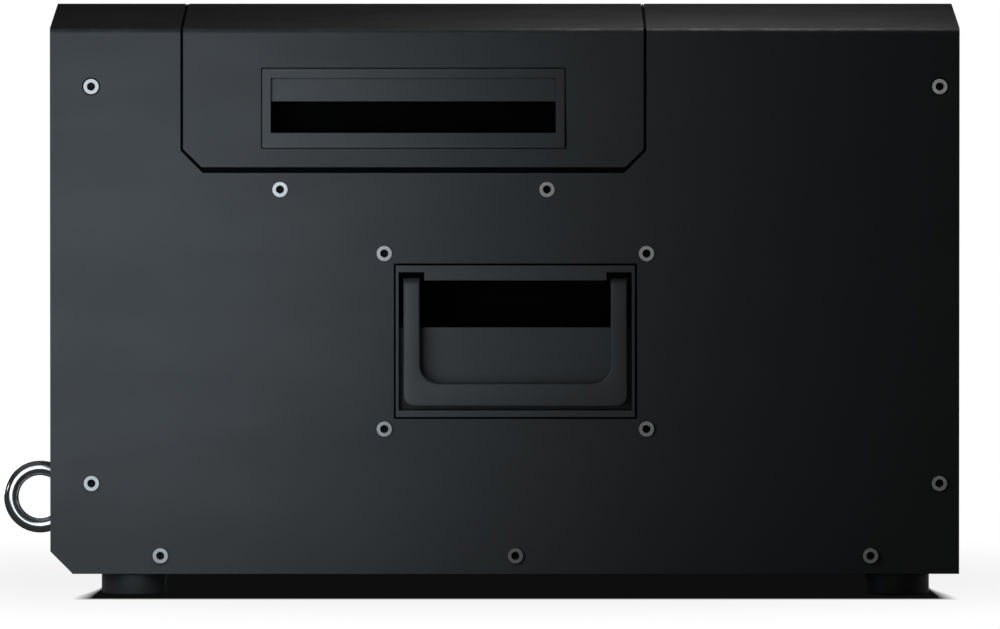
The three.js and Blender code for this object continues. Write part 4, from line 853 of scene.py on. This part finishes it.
BUTTONS = 4
BUTTON_COLLAR = 1.5 * MM  # how far it stands out round the cap, behind the panel
BUTTON_BEHIND = 2.3 * MM  # from the panel's face to the collar
BUTTON_COLLAR_DEPTH = 1 * MM
BUTTON_STEM = 2 * MM
# The cap's hollow front: each point's radius as a share of the cap's, and its depth in millimetres
CAP_FRONT = [[0, 0.55], [0.5, 0.42], [0.78, 0.1], [0.88, 0]]
CAP_EDGE = [0.2 * MM, 0.15 * MM, 0.6 * MM]  # how far in, and the two depths of its round
for number in range(1, BUTTONS + 1):
    node = f"menu_button_{number}"
    low, high, (_, y, z) = placed(node)
    collar = (high.z - low.z) / 2
    cap = collar - BUTTON_COLLAR
    behind = panel_face + BUTTON_BEHIND - low.x
    profile = [[cap * share, depth * MM] for share, depth in CAP_FRONT]
    profile += [
        [cap - CAP_EDGE[0], CAP_EDGE[1]],
        [cap, CAP_EDGE[2]],
        [cap, behind],
        [collar, behind],
        [collar, behind + BUTTON_COLLAR_DEPTH],
        [BUTTON_STEM, behind + BUTTON_COLLAR_DEPTH],
        [BUTTON_STEM, high.x - low.x],
    ]
    mesh = turned(f"button_cap_{number}", "x", (low.x, y, z), profile)
    add_piece(mesh, button_plastic, [node], body=f"button_{number}")

LOCK_ROUND = [0.5 * MM, 0.6 * MM, 1.8 * MM]  # how far in, and the two depths of the bezel's outer round
LOCK_FUNNEL = [[0, 1.2], [1.2, 0.5], [2, 0]]  # past the bore's radius and in from the front, in millimetres
LOCK_FLAT = 1.6 * MM  # from the bezel's edge to its flat front
LOCK_BODY = 9.5 * MM
low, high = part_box("key_switch_barrel")
rotor_low, rotor_high, (_, key_y, key_z) = placed("key_rotor")
bezel = (high.y - low.y) / 2
bore = (rotor_high.y - rotor_low.y) / 2 + CLEAR
seat = panel_face - CLEAR - low.x
profile = [
    [bore, rotor_high.x - low.x + CLEAR],
    *[[bore + out, depth] for out, depth in in_mm(LOCK_FUNNEL)],
    [bezel - LOCK_FLAT, 0],
    [bezel - LOCK_ROUND[0], LOCK_ROUND[1]],
    [bezel, LOCK_ROUND[2]],
    [bezel, seat],
    [LOCK_BODY, seat],
    [LOCK_BODY, high.x - low.x],
]
mesh = turned("key_barrel", "x", (low.x, key_y, key_z), profile)
add_piece(mesh, lock_steel, ["key_switch_barrel"])
add_piece(solid_faces("key_rotor"), lock_steel, ["key_rotor"], edge=0.25 * MM, body="key")

# The round data sockets: a flange with a raised lip, contacts in a bore or a core with holes, and two screws

FLANGE_CORNER = 3 * MM
SOCKET_BORE = 9.4 * MM
BORE_DEPTH = 15 * MM
BARREL = 11.8 * MM
LIP = 0.6 * MM
CONTACT_CIRCLE = 4.6 * MM
CONTACTS = 5
CORE = 8.1 * MM
CORE_BACK = 0.3 * MM  # behind the flange's front
FLANGE_SCREWS = (10 * MM, 12.4 * MM)  # sideways and up from the socket's middle, in two opposite corners
# The [radius, depth] of these small pieces, in millimetres from the flange's front
FLANGE_SCREW = [[0, 0], [1.1, 0], [1.3, -0.1], [2.4, -0.1], [2.9, 0.3], [2.9, 1]]
PIN_TIP = [[0.48, 5], [1.2, 5.7]]
SLEEVE = [[0.84, 8], [0.84, 0.5], [1.2, 0.25], [1.2, 8.4]]
for node in ("data_in", "data_out"):
    low, high, (_, y, z) = placed(node)
    sheet = panel_face - CLEAR - low.x
    outline = rounded_rectangle(high.y - low.y, high.z - low.z, FLANGE_CORNER)
    inner = rounded_rectangle(high.y - low.y - LIP, high.z - low.z - LIP, FLANGE_CORNER)
    profile = [
        [SOCKET_BORE, BORE_DEPTH],
        [SOCKET_BORE, LIP],
        [SOCKET_BORE + LIP, 0],
        [inner, 0],
        [outline, LIP / 2],
        [outline, sheet],
        [BARREL, sheet],
        [BARREL, high.x - low.x],
        [0, high.x - low.x],
    ]
    shell = stack("x", (low.x, y, z), [[0, BORE_DEPTH], *profile])
    add_piece(surface(node + "_shell", shell), socket_shell, [node])
    for corner, corner_name in ((-1, "low"), (1, "high")):
        at = (low.x, y - corner * FLANGE_SCREWS[0], z + corner * FLANGE_SCREWS[1])
        mesh = turned(f"{node}_screw_{corner_name}", "x", at, in_mm(FLANGE_SCREW))
        add_piece(mesh, screw_steel)
    for number in range(CONTACTS):
        angle = -math.pi / 2 + (number + 1) * 2 * math.pi / (CONTACTS + 1)
        at = (low.x, y + CONTACT_CIRCLE * math.cos(angle), z + CONTACT_CIRCLE * math.sin(angle))
        if node == "data_in":
            pin = in_mm(PIN_TIP)
            pin += [[pin[-1][0], BORE_DEPTH + LIP]]
            add_piece(turned(f"{node}_pin_{number + 1}", "x", at, pin), contacts)
        else:
            add_piece(ring(f"{node}_sleeve_{number + 1}", "x", at, in_mm(SLEEVE)), contacts)
low, high, (_, y, z) = placed("data_out")
core = [[0, CORE_BACK], [CORE - LIP, CORE_BACK], [CORE, CORE_BACK + LIP], [CORE, BORE_DEPTH + LIP]]
add_piece(turned("data_out_core", "x", (low.x, y, z), core), black_plastic)

# The mains inlet's blades, which get a finish of their own, and the rocker

BLADE = (1.8 * MM, 4 * MM)
BLADE_PITCH = 7 * MM
BLADE_RISE = 2 * MM
BLADE_SUNK = 5.8 * MM  # how far its tip lies behind the inlet's front
BLADE_SPARE = 0.05 * MM  # past the solid's blade, all round
PLUG_DROP = 15 * MM
PLUG_DEPTH = 18 * MM
low, _, (_, inlet_y, inlet_z) = placed("power_inlet")
plug_z = inlet_z - PLUG_DROP
for number in (-1, 0, 1):
    y = inlet_y + number * BLADE_PITCH
    z = plug_z + (BLADE_RISE if number == 0 else -BLADE_RISE)
    half_y, half_z = BLADE[0] / 2 + BLADE_SPARE, BLADE[1] / 2 + BLADE_SPARE
    front = (low.x + BLADE_SUNK, y - half_y, z - half_z)
    back = (low.x + PLUG_DEPTH, y + half_y, z + half_z)
    mesh = block(f"inlet_blade_{number + 2}", front, back, corner=0.4 * MM, axis="x")
    add_piece(mesh, contacts, edge=0.2 * MM)
add_piece(solid_faces("power_rocker"), button_plastic, ["power_rocker"], edge=0.35 * MM, body="rocker")

# The burner: nozzle, electrodes and their wires. Outlines are [radius, height] in millimetres.

NOZZLE_STEM = [[6, -9], [6, 0]]
NOZZLE_TUBE = [
    [15, 4], [13.6, 4.4], [13, 5.4], [13, 16], [12.4, 16.6], [12.4, 18], [13, 18.6], [13, 42],
    [8, 52], [7.2, 52], [5, 51], [5, 22], [0, 22],
]
NOZZLE_FOOT = 9 * MM  # from the solid's bottom to the pan's floor
NOZZLE_FLANGE = 4 * MM
NOZZLE_CHAMFER = 0.8 * MM
BOLTS = 6
BOLT_CIRCLE = 18 * MM
BOLT_FLATS = 5.5 * MM
BOLT_HEAD = 2.2 * MM
BOLT_DOME = [2.4 * MM, 2.6 * MM]
low, high, (x, y, _) = placed("nozzle")
nozzle_low, nozzle_x = low.z, x
base = low.z + NOZZLE_FOOT
flange = (high.x - low.x) / 2
profile = [
    *in_mm(NOZZLE_STEM),
    [flange, 0],
    [flange, NOZZLE_FLANGE - NOZZLE_CHAMFER],
    [flange - NOZZLE_CHAMFER, NOZZLE_FLANGE],
    *in_mm(NOZZLE_TUBE),
]
add_piece(turned("burner_nozzle", "z", (x, y, base), profile), brass, ["nozzle"])
head = hexagon(BOLT_FLATS)
bolt = [[0, 0], [head, 0], [head, BOLT_HEAD], BOLT_DOME, [0, BOLT_DOME[1]]]
for number in range(BOLTS):
    angle = (number + 0.5) * 2 * math.pi / BOLTS
    at = (x + BOLT_CIRCLE * math.cos(angle), y + BOLT_CIRCLE * math.sin(angle), base + NOZZLE_FLANGE)
    add_piece(surface(f"nozzle_bolt_{number + 1}", stack("z", at, bolt)), screw_steel)

# Sheds as on a spark plug: the glaze swells and narrows along the insulator
INSULATOR_FOOT = [[4, -12], [4, 0], [7, 0], [7, 2.4], [6.4, 3], [4, 3.4]]
INSULATOR_TOP = [[4, 38.5], [4, 41], [3.2, 42]]
SHED = [[3.6, 0], [4, 0.9], [4, 2.2], [3.6, 3.1]]
SHED_HEIGHTS = range(6, 38, 4)
ELECTRODE_OUT = 30 * MM
WIRE_START = 40 * MM
WIRE_KNEE = 51 * MM
WIRE_REACH = (14 * MM, 4.5 * MM)  # inwards and up from its knee
WIRE_RADIUS = 1.2 * MM
sheds = [[radius, height + rise] for height in SHED_HEIGHTS for radius, rise in SHED]
for label, side in SIDES.items():
    axis_y = side * ELECTRODE_OUT
    profile = in_mm([*INSULATOR_FOOT, *sheds, *INSULATOR_TOP])
    mesh = turned("insulator_" + label, "z", (x, axis_y, base), profile)
    add_piece(mesh, glaze, ["electrode_" + label])
    knee = base + WIRE_KNEE
    tip = (x, axis_y - side * WIRE_REACH[0], knee + WIRE_REACH[1])
    wire = rounded_path([(x, axis_y, base + WIRE_START), (x, axis_y, knee), tip], bend=3 * MM)
    mesh = swept("spark_wire_" + label, wire, WIRE_RADIUS, (1, 0, 0))
    add_piece(mesh, stainless, edge=0.2 * MM)

# The fuel cans: seamed at both ends, with a domed shoulder, a crimped cup and a valve stem

CAN_OUTLINE = [
    [24, 3], [29, 2.4], [31, 0], [32.5, 0.6], [32.5, 3.2], [31.6, 4.2], [31.6, 171], [32.5, 172.6],
    [32.5, 175.4], [31.4, 176.2], [30.6, 175.6], [29.4, 177.4], [25, 181.6], [20.4, 185], [17.2, 186.2],
    [16.6, 188], [14.6, 188], [14, 185.6], [7, 185.6], [6, 188], [2.6, 188], [2, 189], [2, 200],
]
for label in SIDES:
    node = "fuel_can_" + label
    low, _, (x, y, _) = placed(node)
    mesh = turned("can_" + label, "z", (x, y, low.z), in_mm(CAN_OUTLINE))
    add_piece(mesh, can_lacquer, [node])

# The solenoid valve: its body, a ribbed coil and a nut on top

VALVE_BODY = 8 * MM
COIL = [[10.7, -0.3], [10.7, 1.2], [10, 1.8], [10, 12.6], [10.7, 13.2], [10.7, 14.4], [9.8, 15]]
VALVE_NUT = 9 * MM
NUT_BOTTOM = 14.9 * MM
NUT_SHOULDER = 17.4 * MM
NUT_TOP = 18 * MM
low, high, (x, y, _) = placed("solenoid_valve")
coil_foot = (x, y, low.z + VALVE_BODY)
mesh = block("valve_body", low, (high.x, high.y, coil_foot[2]), corner=1 * MM)
add_piece(mesh, brass, ["solenoid_valve"], edge=0.5 * MM)
add_piece(turned("valve_coil", "z", coil_foot, in_mm(COIL)), black_plastic)
flats = hexagon(VALVE_NUT)
nut = [[0, NUT_BOTTOM], [flats, NUT_BOTTOM], [flats, NUT_SHOULDER], [VALVE_NUT / 3, NUT_TOP], [0, NUT_TOP]]
add_piece(surface("valve_nut", stack("z", coil_foot, nut)), zinc)

# The fuel pipe and the ignition lead, along the same routes as their solids

PIPE_RADIUS = 4 * MM
PIPE_DROP = 18 * MM  # from the valve to where the pipe goes down
PIPE_BEND = 10 * MM
low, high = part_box("fuel_pipe")
drop_x = low.x + PIPE_DROP
pipe_low, pipe_high = low.z + PIPE_RADIUS, high.z - PIPE_RADIUS
pipe = [
    (low.x, 0, pipe_high),
    (drop_x, 0, pipe_high),
    (drop_x, 0, pipe_low),
    (nozzle_x, 0, pipe_low),
    (nozzle_x, 0, nozzle_low - CLEAR),
]
mesh = swept("gas_pipe", rounded_path(pipe, PIPE_BEND), PIPE_RADIUS, (0, 1, 0), sides=24)
add_piece(mesh, stainless, ["fuel_pipe"])

LEAD_RADIUS = 2.5 * MM
LEAD_BEND = 6 * MM
LEAD_LOOP = 7.5 * MM  # from the run down to the lead's highest point
LEAD_ASIDE = (0.37, 0.93, 0)  # no stretch of the lead follows it
low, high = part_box("ignition_lead")
terminal_x, terminal_y = high.x - LEAD_RADIUS, -46 * MM
run_z = high.z - LEAD_LOOP
lead = [
    (terminal_x, terminal_y, low.z),
    (terminal_x, terminal_y, run_z),
    (90.175 * MM, -30 * MM, run_z),
    (nozzle_x, -30 * MM, run_z),
    (nozzle_x, -30 * MM, high.z),
]
mesh = swept("spark_lead", rounded_path(lead, LEAD_BEND), LEAD_RADIUS, LEAD_ASIDE, sides=24)
add_piece(mesh, lead_rubber, ["ignition_lead"])

# The transformer with its post, the board and the cans' cradle

POST_HEIGHT = 8 * MM
POST = [[6, 0], [6, 1.4], [4.6, 2.2], [4.6, 3], [6, 3.8], [6, 4.6], [4.6, 5.4], [4.6, 7.2], [3.8, 8]]
low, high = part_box("ignition_transformer")
box_top = high.z - POST_HEIGHT
mesh = block("transformer_box", low, (high.x, high.y, box_top), corner=3 * MM)
add_piece(mesh, black_plastic, ["ignition_transformer"], edge=1.2 * MM)
add_piece(turned("transformer_post", "z", (terminal_x, terminal_y, box_top), in_mm(POST)), glaze)
add_piece(solid_faces("control_board"), board_green, ["control_board"])
add_piece(solid_faces("can_cradle"), black_plastic, ["can_cradle"], edge=0.5 * MM)

# The floor, the light and the camera

WHITE = (1.0, 1.0, 1.0, 1.0)
FLOOR_HALF = 30.0
FLOOR_TONE = grey(0.3)  # for the light that it throws back
SHADE_POOL_ROUND = (0.5, 0.35)  # half the length and depth of the faint painted shade round the object
SHADE_POOL_TONE = 0.88
MIRRORED_FLOOR = 0.04  # how bright a mirror shows the floor, which the picture shows white
SHADOW_TONE = 0.005
SHADOW_EDGE = 6 * MM
SHADOW_AHEAD = 16 * MM  # from the casing's side out
SPLAY = 8.5 * MM  # how much further than the feet the shadow reaches at its front
SPLAY_DEPTH = 95 * MM
SPLAY_SOFT = 8 * MM


def direct_rays(tree):
    """One where a ray comes from the camera, from a mirror-like surface or through glass."""
    path = add_node(tree, "LightPath").outputs
    seen = maths(tree, "ADD", path["Is Camera Ray"], path["Is Transmission Ray"])
    return maths(tree, "ADD", seen, path["Is Glossy Ray"], clamp=True), path


def dimmed(tree, share, level):
    """One, or the level where the share is one."""
    return add_node(tree, "Mix", {0: share, 2: 1.0, 3: level}).outputs[0]


def shadow_on_floor(tree):
    """Nought in the object's painted shadow and one beside it. The shadow lies between the feet's outer ends,
    ends in front of the casing, and spreads a little there. A faint painted shade lies round it in an
    ellipse."""
    place = add_node(tree, "SeparateXYZ", {0: add_node(tree, "TexCoord").outputs["Object"]}).outputs
    feet = [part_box("foot_rear_near")[0].x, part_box("foot_front_near")[1].x]
    along = maths(tree, "ABSOLUTE", maths(tree, "SUBTRACT", place[0], sum(feet) / 2))
    nearer = maths(tree, "MULTIPLY", place[1], -1.0)
    front = casing_box[1].y + SHADOW_AHEAD
    spread = fade(tree, nearer, front - SPLAY_DEPTH, front)
    past_feet = maths(tree, "SUBTRACT", along, (feet[1] - feet[0]) / 2)
    beyond = maths(tree, "MULTIPLY_ADD", spread, -SPLAY, past_feet)
    soft = maths(tree, "MULTIPLY_ADD", spread, SPLAY_SOFT, SPLAY_SOFT / 8)
    beside = maths(tree, "ADD", maths(tree, "DIVIDE", beyond, soft), 0.5, clamp=True)
    ahead = fade(tree, nearer, front - SHADOW_EDGE, front + SHADOW_EDGE)
    behind = fade(tree, nearer, -casing_box[1].y, -casing_box[1].y + SHADOW_AHEAD, low=1.0, high=0.0)
    lit = maths(tree, "MAXIMUM", beside, maths(tree, "MAXIMUM", ahead, behind))
    length = maths(tree, "POWER", maths(tree, "DIVIDE", place[0], SHADE_POOL_ROUND[0]), 2.0)
    depth = maths(tree, "POWER", maths(tree, "DIVIDE", place[1], SHADE_POOL_ROUND[1]), 2.0)
    away = maths(tree, "SQRT", maths(tree, "ADD", length, depth))
    faint = fade(tree, away, start=0.3, end=1.0, low=SHADE_POOL_TONE)
    return maths(tree, "MULTIPLY", faint, maths(tree, "MAXIMUM", lit, SHADOW_TONE))


def studio_floor():
    """A floor that shows white, with the object's soft contact shadow painted on it, and that throws little
    light back.
    """
    corners = [(x * FLOOR_HALF, y * FLOOR_HALF, 0) for x, y in ((-1, -1), (1, -1), (1, 1), (-1, 1))]
    mesh = bpy.data.meshes.new("studio_floor")
    mesh.from_pydata(corners, [], [(0, 1, 2, 3)])
    material = bpy.data.materials.new("studio floor")
    material.use_nodes = True
    tree = material.node_tree
    tree.nodes.clear()
    seen, path = direct_rays(tree)
    mirrored = dimmed(tree, path["Is Glossy Ray"], MIRRORED_FLOOR)
    shown = maths(tree, "MULTIPLY", shadow_on_floor(tree), mirrored)
    glow = add_node(tree, "Emission", {"Color": WHITE, "Strength": shown}).outputs[0]
    sheet = add_node(tree, "BsdfDiffuse", {"Color": FLOOR_TONE}).outputs[0]
    mix = add_node(tree, "MixShader", {0: seen, 1: sheet, 2: glow})
    output = add_node(tree, "OutputMaterial")
    tree.links.new(mix.outputs[0], output.inputs["Surface"])
    mesh.materials.append(material)
    in_scene("studio_floor", mesh)


def studio_world(ambient, low_tone, high_tone):
    """White behind the object. Reflections see a dark room with a lighter ceiling, and the ambient is low."""
    world = bpy.data.worlds.new("studio")
    bpy.context.scene.world = world
    world.use_nodes = True
    tree = world.node_tree
    tree.nodes.clear()
    seen, path = direct_rays(tree)
    up = add_node(tree, "SeparateXYZ", {0: add_node(tree, "TexCoord").outputs["Generated"]}).outputs[2]
    room = fade(tree, up, start=0.35, end=0.95, low=low_tone, high=high_tone)
    shown = dimmed(tree, path["Is Glossy Ray"], room)
    strength = add_node(tree, "Mix", {0: seen, 2: ambient, 3: shown}).outputs[0]
    light = add_node(tree, "Background", {"Color": WHITE, "Strength": strength}).outputs[0]
    output = add_node(tree, "OutputWorld")
    tree.links.new(light, output.inputs["Surface"])


def soft_light(name, place, target, width, height, power, colour=(1.0, 1.0, 1.0), mirrored=True):
    """A rectangular light at a place, turned to a target, that the camera doesn't see."""
    data = bpy.data.lights.new(name, "AREA")
    data.shape = "RECTANGLE"
    data.size, data.size_y = width, height
    data.energy = power
    data.color = colour
    lamp = in_scene(name, data)
    lamp.location = place
    lamp.rotation_euler = (Vector(target) - Vector(place)).to_track_quat("-Z", "Y").to_euler()
    lamp.visible_camera = False
    lamp.visible_glossy = mirrored


studio_floor()
studio_world(ambient=0.022, low_tone=0.014, high_tone=0.08)
COOL = (0.88, 1.0, 1.1)
soft_light("near left sheet", (-0.272, -0.421, 0.165), (-0.387, -0.125, 0.2), 0.48, 0.39, 1.4, COOL)
soft_light("overhead sheet", (0.12, -0.02, 0.5), (0.12, -0.02, 0.26), 0.16, 0.3, 0.36)
soft_light("front strip", (0.05, -2.2, 0.1), (0.05, -0.125, 0.1), 0.7, 0.29, 1.0)
soft_light("far side sheet", (0.0, 0.75, 0.13), (0.0, 0.125, 0.13), 1.6, 0.24, 4.8)
soft_light("control end", (-0.85, 0.3, 0.13), (-0.2, 0.0, 0.13), 0.9, 0.24, 7.0, mirrored=False)
soft_light("control end gleam", (-0.9, -0.11, 0.2), (-0.2, 0.0, 0.2), 0.12, 0.1, 0.12)
soft_light("plain end", (0.87, 0.3, 0.13), (0.22, 0.0, 0.13), 0.9, 0.24, 5.5, mirrored=False)

# A long lens, in front of the near side and a little above it

DISTANCE = 13.5
TILT = math.radians(3.25)
VIEW_WIDTH = 0.46183  # in the near side's plane
SENSOR = 36.0
AIM = Vector((0.009533, casing_box[0].y, 0.1307))  # what the picture's middle shows
camera_data = bpy.data.cameras.new("camera")
camera_data.type = "PERSP"
camera_data.sensor_width = SENSOR
camera_data.lens = SENSOR * DISTANCE / VIEW_WIDTH
camera_data.clip_end = 100.0
camera = in_scene("camera", camera_data)
camera.location = AIM + DISTANCE * Vector((0, -math.cos(TILT), math.sin(TILT)))
camera.rotation_euler = (AIM - camera.location).to_track_quat("-Z", "Y").to_euler()
bpy.context.scene.camera = camera
bpy.context.scene.view_settings.view_transform = "Standard"
